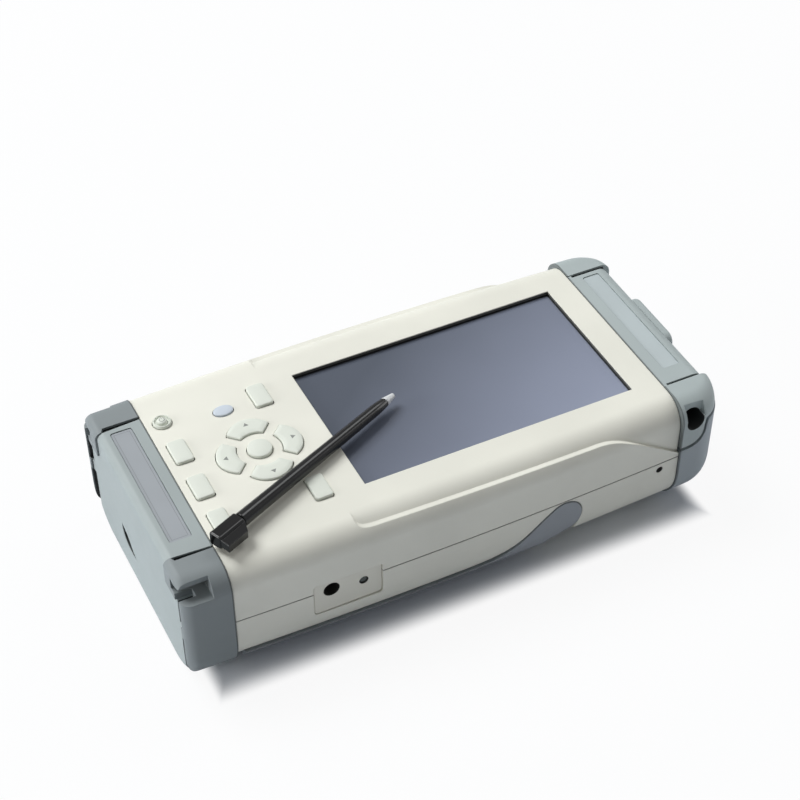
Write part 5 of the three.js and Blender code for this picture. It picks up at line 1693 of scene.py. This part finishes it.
@dataclass(frozen=True)
class KeySet:
    """The rubber keys, crowned and with rounded edges."""

    top: float = CASE_TOP
    base: float = 44.5
    play: float = 0.25
    edge: float = 0.42
    slim_half: Pair = (3.0, 5.2)
    slim_round: float = 1.1
    slim_at: tuple[tuple[str, float, float], ...] = (
        ("preset_key", -75.2, 10.6), ("view_key", -75.2, -6.8), ("marker_key", -75.2, -23.4),
        ("exit_key", -42.2, 23.6), ("status_key", -42.2, -23.3),
    )
    slim_crown: Crown = Crown(1.2, 0.12, 2.5)
    oval_at: Pair = (-55.6, 22.3)
    oval_half: Pair = (3.4, 2.4)
    oval_crown: Crown = Crown(0.8, 0.15, 1.9)
    cluster: Pair = CLUSTER_AT
    enter_radius: float = 4.1
    enter_crown: Crown = Crown(1.4, 0.3, 3.6)
    petals: tuple[str, ...] = ("left_key", "down_key", "right_key", "up_key")
    petal_inner: float = 7.6
    petal_outer: float = 8.1
    petal_shift: float = 6.4
    petal_lean: float = 2.6
    petal_crown: Crown = Crown(1.0, 0.2, 1.9)
    power_at: Pair = POWER_AT
    power_radius: float = 3.1
    power_profile: tuple[Pair, ...] = (
        (44.5, 3.1), (48.1, 3.1), (48.45, 3.05), (48.72, 2.9), (48.8, 2.72), (48.72, 2.54), (48.45, 2.42),
        (48.2, 2.4), (48.2, 1.7), (48.6, 1.7), (48.95, 1.6), (49.2, 1.35), (49.34, 0.95), (49.4, 0.45),
    )

    def _slim(self, x: float, y: float, grow: float = 0) -> Array:
        """Outline of a slim key."""
        u, v = (half + grow for half in self.slim_half)
        return rounded_rect((x - u, x + u), (y - v, y + v), min(self.slim_round, 0.9 * u), 10)

    def _oval(self, grow: float = 0) -> Array:
        """Outline of the oval key: a circle stretched by its half sizes."""
        half = np.array(self.oval_half) + grow
        return np.array(self.oval_at) + half * arc((0, 0), 1, 0, 352.5, 47)

    def _petal(self, grow: float = 0) -> Array:
        """Outline of a direction key: two arcs, joined by lines that lean at 45 degrees.

        Args:
            grow: How much it is grown.

        Returns:
            One row per point.
        """
        inner, outer = self.petal_inner - grow, self.petal_outer + grow
        offset = self.petal_lean - grow * math.sqrt(2)
        drop = offset - self.petal_shift

        def meet(radius: float, shift: float) -> float:
            """Where the leaning line meets an arc."""
            return (math.sqrt(2 * radius ** 2 - shift ** 2) - shift) / 2

        inner_u, outer_u = meet(inner, offset), meet(outer, drop)
        inner_deg = math.degrees(math.atan2(inner_u + offset, inner_u))
        outer_deg = math.degrees(math.atan2(outer_u + drop, outer_u))
        return np.concatenate([
            arc((0, 0), inner, 180 - inner_deg, inner_deg, 20),
            arc((0, self.petal_shift), outer, outer_deg, 180 - outer_deg, 32),
        ])

    def _turned_petal(self, index: int, grow: float = 0) -> Array:
        """Outline of one direction key in its place.

        Args:
            index: Its place in the cluster.
            grow: How much it is grown.

        Returns:
            One row per point.
        """
        turn = math.radians(90 * index)
        spin = np.array([[math.cos(turn), math.sin(turn)], [-math.sin(turn), math.cos(turn)]])
        return self._petal(grow) @ spin + np.array(self.cluster)

    def _button(self, outline_at: Callable[[float], Array], crown: Crown) -> Solid:
        """Crowned button: rings of an outline that shrinks over a rounded edge and then over a low dome.

        Args:
            outline_at: Gives the outline for a growth.
            crown: How far it stands out and how its dome is.

        Returns:
            The button.
        """
        shoulder = self.top + crown.rise - crown.height
        inset, way = edge_profile(self.edge)
        share = np.linspace(0, 1, 8)[1:]
        insets = np.concatenate([[0], inset, self.edge + (crown.reach - self.edge) * share])
        dome = shoulder + crown.height * (1 - (1 - share) ** 2)
        heights = np.concatenate([[self.base], shoulder - self.edge + way, dome])
        return Solid(np.stack([
            np.column_stack([outline_at(-d), np.full(len(outline_at(0)), z)]) for d, z in zip(insets, heights)
        ]))

    def holes(self, floor: float) -> list[Solid]:
        """Holes in the upper shell, from a floor upwards.

        Args:
            floor: The floor's height.

        Returns:
            The bodies to cut away.
        """
        outlines = [self._slim(x, y, self.play) for _, x, y in self.slim_at]
        outlines += [self._turned_petal(index, self.play) for index in range(len(self.petals))]
        outlines += [self._oval(self.play), arc(self.cluster, self.enter_radius + self.play, 0, 354, 59)]
        outlines += [arc(self.power_at, self.power_radius + self.play, 0, 354, 59)]
        return [prism(Axis.Z, outline, floor, PAST_TOP) for outline in outlines]

    def build(self, shop: Workshop) -> None:
        """Make every key.

        Args:
            shop: Takes the pieces.
        """
        for name, x, y in self.slim_at:
            key = self._button(lambda grow, x=x, y=y: self._slim(x, y, grow), self.slim_crown)
            shop.put(key, name, Finish.KEY)
        for index, name in enumerate(self.petals):
            key = self._button(lambda grow, index=index: self._turned_petal(index, grow), self.petal_crown)
            shop.put(key, name, Finish.KEY)
        enter = self._button(
            lambda grow: arc(self.cluster, self.enter_radius + grow, 0, 352.5, 47), self.enter_crown,
        )
        shop.put(enter, "enter_key", Finish.KEY)
        shop.put(self._button(self._oval, self.oval_crown), "screen_key", Finish.KEY_BLUE)
        upright = Matrix.Translation((*self.power_at, 0)) @ Matrix.Rotation(math.radians(-90), 4, "Y")
        shop.put(turned(self.power_profile).moved(upright), "power_key", Finish.KEY)


@dataclass(frozen=True)
class Stylus:
    """Black touch stylus with a square head, a lug and a pale tip, made along X and then placed."""

    tail: Point = (-81.1, -33.7, 52.2)
    tip: Point = (-3.5, 2.6, 49.7)
    head_half: float = 2.5
    head_round: float = 1.1
    head_length: float = 11.0
    head_edge: float = 0.6
    lug: tuple[Pair, ...] = ((0.3, -1.0), (0.0, -5.8), (8.4, -5.8), (10.9, -2.4), (10.9, -1.0))
    lug_z: Pair = (-1.2, 1.6)
    bore_radius: float = 1.4
    bore_floor: float = 7.0
    neck: tuple[Pair, ...] = ((7.3, 1.1), (11.3, 1.1), (11.3, 2.2), (11.4, 2.4), (11.65, 2.5))
    tip_length: float = 4.8
    nose_length: float = 6.0
    nose_radii: Pair = (1.6, 2.0)
    tip_bore_depth: float = 3.3
    tip_shank: float = 3.0
    tip_gap: float = 0.3
    tip_edge: float = 0.15
    shank_radius: float = 1.1
    tip_radii: Pair = (1.45, 1.6)
    point_radius: float = 0.5
    point_round: Pair = (0.45, 0.42)
    overrun: float = 20.0

    def _head(self) -> Solid:
        """Square head with rounded ends, a lug at its side and a bore for the barrel.

        Returns:
            The head.
        """
        edge, (inset, way) = self.head_edge, edge_profile(self.head_edge)
        rings = along(
            Axis.X, rounded_rect(centred(self.head_half), centred(self.head_half), self.head_round),
            np.concatenate([edge - way[::-1], self.head_length - edge + way]),
            np.concatenate([-inset[::-1], -inset]),
        )
        bore = rod(Axis.X, (0, 0), self.bore_radius, self.bore_floor, self.bore_floor + self.overrun, 32)
        return Solid(rings).plus(prism(Axis.Z, self.lug, *self.lug_z)).minus(bore)

    def _barrel(self, end: float) -> Solid:
        """Barrel whose nose narrows to its end with a cosine.

        Args:
            end: Where it ends.

        Returns:
            The barrel.
        """
        thin, thick = self.nose_radii
        nose = [
            (end - self.nose_length * (1 - share), thin + (thick - thin) * math.cos(math.radians(90 * share)))
            for share in np.linspace(0, 1, 9)
        ]
        bore = rod(Axis.X, (0, 0), self.bore_radius, end - self.tip_bore_depth, end + self.overrun, 32)
        return turned([*self.neck, *nose]).minus(bore)

    def _tip(self, end: float, length: float) -> Solid:
        """Tip on a shank, with a rounded point: cosine and sine of a turn scaled by its radii.

        Args:
            end: Where the barrel ends.
            length: Length of the whole stylus.

        Returns:
            The tip.
        """
        (long, wide), gap = self.point_round, self.tip_gap
        point = [
            (length - long + long * math.sin(turn), self.point_radius + wide * math.cos(turn))
            for turn in np.radians(range(0, 91, 15))
        ]
        first, second = self.tip_radii
        return turned([
            (end - self.tip_shank, self.shank_radius), (end + gap, self.shank_radius),
            (end + gap, first), (end + gap + self.tip_edge, second), *point,
        ])

    def build(self, shop: Workshop) -> None:
        """Make head, barrel and tip along the line from tail to tip.

        Args:
            shop: Takes the pieces.
        """
        run = Vector(self.tip) - Vector(self.tail)
        heading = Matrix.Rotation(math.atan2(run.y, run.x), 4, "Z")
        slope = Matrix.Rotation(-math.atan2(run.z, math.hypot(run.x, run.y)), 4, "Y")
        place = Matrix.Translation(self.tail) @ heading @ slope
        end = run.length - self.tip_length
        shop.put(self._head().moved(place), "stylus_head", Finish.BLACK)
        shop.put(self._barrel(end).moved(place), "stylus_barrel", Finish.BLACK)
        shop.put(self._tip(end, run.length).moved(place), "stylus_tip", Finish.TIP)


@dataclass(frozen=True)
class Inside:
    """Pieces that keep their construction form, with softened edges."""

    finishes: dict[str, Finish] = field(default_factory=lambda: {
        "touch_glass": Finish.GLASS, "side_socket_panel": Finish.PANEL, "battery_cover": Finish.SHELL,
        "dc_socket": Finish.BLACK, "charge_light_guide": Finish.CLEAR,
        "display_gasket": Finish.FOOT, "lcd_module": Finish.STEEL, "lcd_bracket": Finish.STEEL,
        "keypad_mat": Finish.WHITE, "keypad_board": Finish.BOARD, "main_board": Finish.BOARD,
        "rf_shield_can": Finish.STEEL, "sounder": Finish.BLACK, "battery_pack": Finish.BLACK,
    })
    pairs: dict[str, Finish] = field(default_factory=lambda: {
        "cover_screw": Finish.STEEL, "case_screw_left": Finish.STEEL, "case_screw_right": Finish.STEEL,
        "stand_pin": Finish.STEEL, "foot_left": Finish.FOOT, "foot_right": Finish.FOOT,
    })

    def build(self, shop: Workshop) -> None:
        """Dress each node in its finish, those of the pairs on the near and on the far side.

        Args:
            shop: Takes the pieces.
        """
        for node, finish in self.finishes.items():
            shop.soften(node, finish)
        for start, finish in self.pairs.items():
            for word, _ in SIDES:
                shop.soften(f"{start}_{word}", finish)


@dataclass(frozen=True)
class Lamp:
    """Square soft lamp that faces the object."""

    name: str
    place_m: Point
    size_m: float
    watts: float
    colour: Colour = (1.0, 1.0, 1.0)
    aim_m: Point = (0.0, 0.0, 0.02)

    def hang(self) -> None:
        """Put the lamp into the scene."""
        light = bpy.data.lights.new(self.name, "AREA")
        light.size, light.energy, light.color = self.size_m, self.watts, self.colour
        lamp = new_object(self.name, light)
        lamp.location = self.place_m
        lamp.rotation_euler = (Vector(self.aim_m) - Vector(self.place_m)).to_track_quat("-Z", "Y").to_euler()


@dataclass(frozen=True)
class Table:
    """Wide white table that keeps the object's shadow and turns white away from it."""

    half_m: float = 3.0
    colours: tuple[Colour, Colour] = (srgb(226, 230, 236), srgb(228, 232, 238))
    footprint_mm: Pair = (85.0, 42.0)
    fade_mm: Pair = (-1.0, 11.5)
    faster_along: float = 1.7
    whitening: float = 0.92

    def _material(self) -> bpy.types.Material:
        """Pale to the lamps; to the camera nearly white with painted light, its shadow painted fainter away
        from the object.

        Returns:
            The material.
        """
        graph = Graph(bpy.data.materials.new("white_table"))
        lit = graph.node("ShaderNodeBsdfPrincipled", {}, {
            "Base Color": graph.blend(graph.noise(2.0, 2), *self.colours),
            "Roughness": 0.5,
            "Specular IOR Level": 0.2,
        })
        # Painted light: to the camera a white glow is mixed in, weak at the object's footprint and strong
        # away from it, which paints the cast shadow out away from the object
        away_x = (abs(graph.axis("X")) - self.footprint_mm[0]) * self.faster_along
        away_y = abs(graph.axis("Y")) - self.footprint_mm[1]
        away = 0 - (0 - away_x).least(0 - away_y)
        faded = away.ramp(*self.fade_mm)
        seen = graph.node("ShaderNodeLightPath", output="Is Camera Ray")
        white = graph.node("ShaderNodeEmission", {}, {"Color": (1, 1, 1), "Strength": 1.0})
        share = seen * (faded * faded * self.whitening)
        return graph.close(graph.node("ShaderNodeMixShader", {}, {0: share, 1: lit, 2: white}))

    def build(self) -> None:
        """Lay the table's square top at the instrument's feet."""
        low, high = centred(self.half_m)
        mesh = bpy.data.meshes.new("table_top")
        mesh.from_pydata([(low, low, 0), (high, low, 0), (high, high, 0), (low, high, 0)], [], [(0, 1, 2, 3)])
        mesh.materials.append(self._material())
        new_object("table_top", mesh)


@dataclass(frozen=True)
class Camera:
    """The photograph's camera, as the body's edges give it."""

    azimuth_deg: float = -26.538
    elevation_deg: float = 44.771
    distance_mm: float = 620.707
    target_mm: Point = (0.0, 0.0, 22.0)
    focal_px: float = 1839.15
    frame_px: float = 800.0
    target_px: Pair = (406.5, 456.93)
    sensor_mm: float = 36.0

    def build(self) -> None:
        """Stand the camera where the photograph was taken."""
        azimuth, elevation = math.radians(self.azimuth_deg), math.radians(self.elevation_deg)
        away = Vector((math.sin(azimuth), -math.cos(azimuth), 0))
        back = away * math.cos(elevation) + Vector((0, 0, math.sin(elevation)))
        right = Vector((math.cos(azimuth), math.sin(azimuth), 0))
        place = (Vector(self.target_mm) + back * self.distance_mm) * MM
        data = bpy.data.cameras.new("camera")
        data.sensor_width = self.sensor_mm
        data.lens = self.focal_px / self.frame_px * self.sensor_mm
        data.shift_x = 0.5 - self.target_px[0] / self.frame_px
        data.shift_y = self.target_px[1] / self.frame_px - 0.5
        data.clip_start = 0.01
        camera = new_object("camera", data)
        turn = Matrix((right, back.cross(right), back)).transposed().to_4x4()
        camera.matrix_world = Matrix.Translation(place) @ turn
        bpy.context.scene.camera = camera


@dataclass(frozen=True)
class Studio:
    """White table and surroundings, soft lamps and the camera."""

    table: Table = Table()
    camera: Camera = Camera()
    lamps: tuple[Lamp, ...] = (
        Lamp("window_lamp", (-0.7, 1.05, 1.75), 1.1, 36.5, (0.98, 0.995, 1.0)),
        Lamp("left_lamp", (-1.6, 0.2, 0.4), 0.8, 13.0),
        Lamp("right_lamp", (1.5, -0.2, 0.6), 0.8, 4.5),
        Lamp("top_lamp", (1.0, 0.54, 1.63), 0.8, 5.5, (0.98, 0.995, 1.0)),
    )
    room: Colour = (0.985, 0.99, 1.0)
    dim: float = 0.15
    mirrored: float = 0.5

    def _world(self) -> None:
        """Pale surroundings: dim light, half as bright in reflections as to the camera."""
        graph = Graph(bpy.data.worlds.new("white_room"))
        seen = graph.node("ShaderNodeLightPath", output="Is Camera Ray")
        reflected = graph.node("ShaderNodeLightPath", output="Is Glossy Ray")
        strength = self.dim + seen * (1 - self.dim) + reflected * (self.mirrored - self.dim)
        light = graph.node("ShaderNodeBackground", {}, {"Color": self.room, "Strength": strength})
        bpy.context.scene.world = graph.close(light)

    def build(self) -> None:
        """Make the table, the surroundings, the lamps and the camera.

        A large lamp hangs high up behind the object, a weak one at each end fills the shadows, and
        the stylus shows the glint of the last one.
        """
        self.table.build()
        self._world()
        for lamp in self.lamps:
            lamp.hang()
        self.camera.build()


def main() -> None:
    """Build every sub-assembly in order."""
    logging.basicConfig(level=logging.INFO, format="%(name)s: %(message)s")
    bpy.context.scene.view_settings.view_transform = "Standard"
    shop, keys, stand = Workshop(), KeySet(), TiltStand()
    Shell().build(shop, keys, stand)
    for assembly in (stand, BottomEnd(), TopEnd(), SignalConnector(), keys, Stylus(), Inside()):
        assembly.build(shop)
    Studio().build()
    LOG.info("%d pieces dressed", shop.count)


if __name__ == "__main__":
    main()
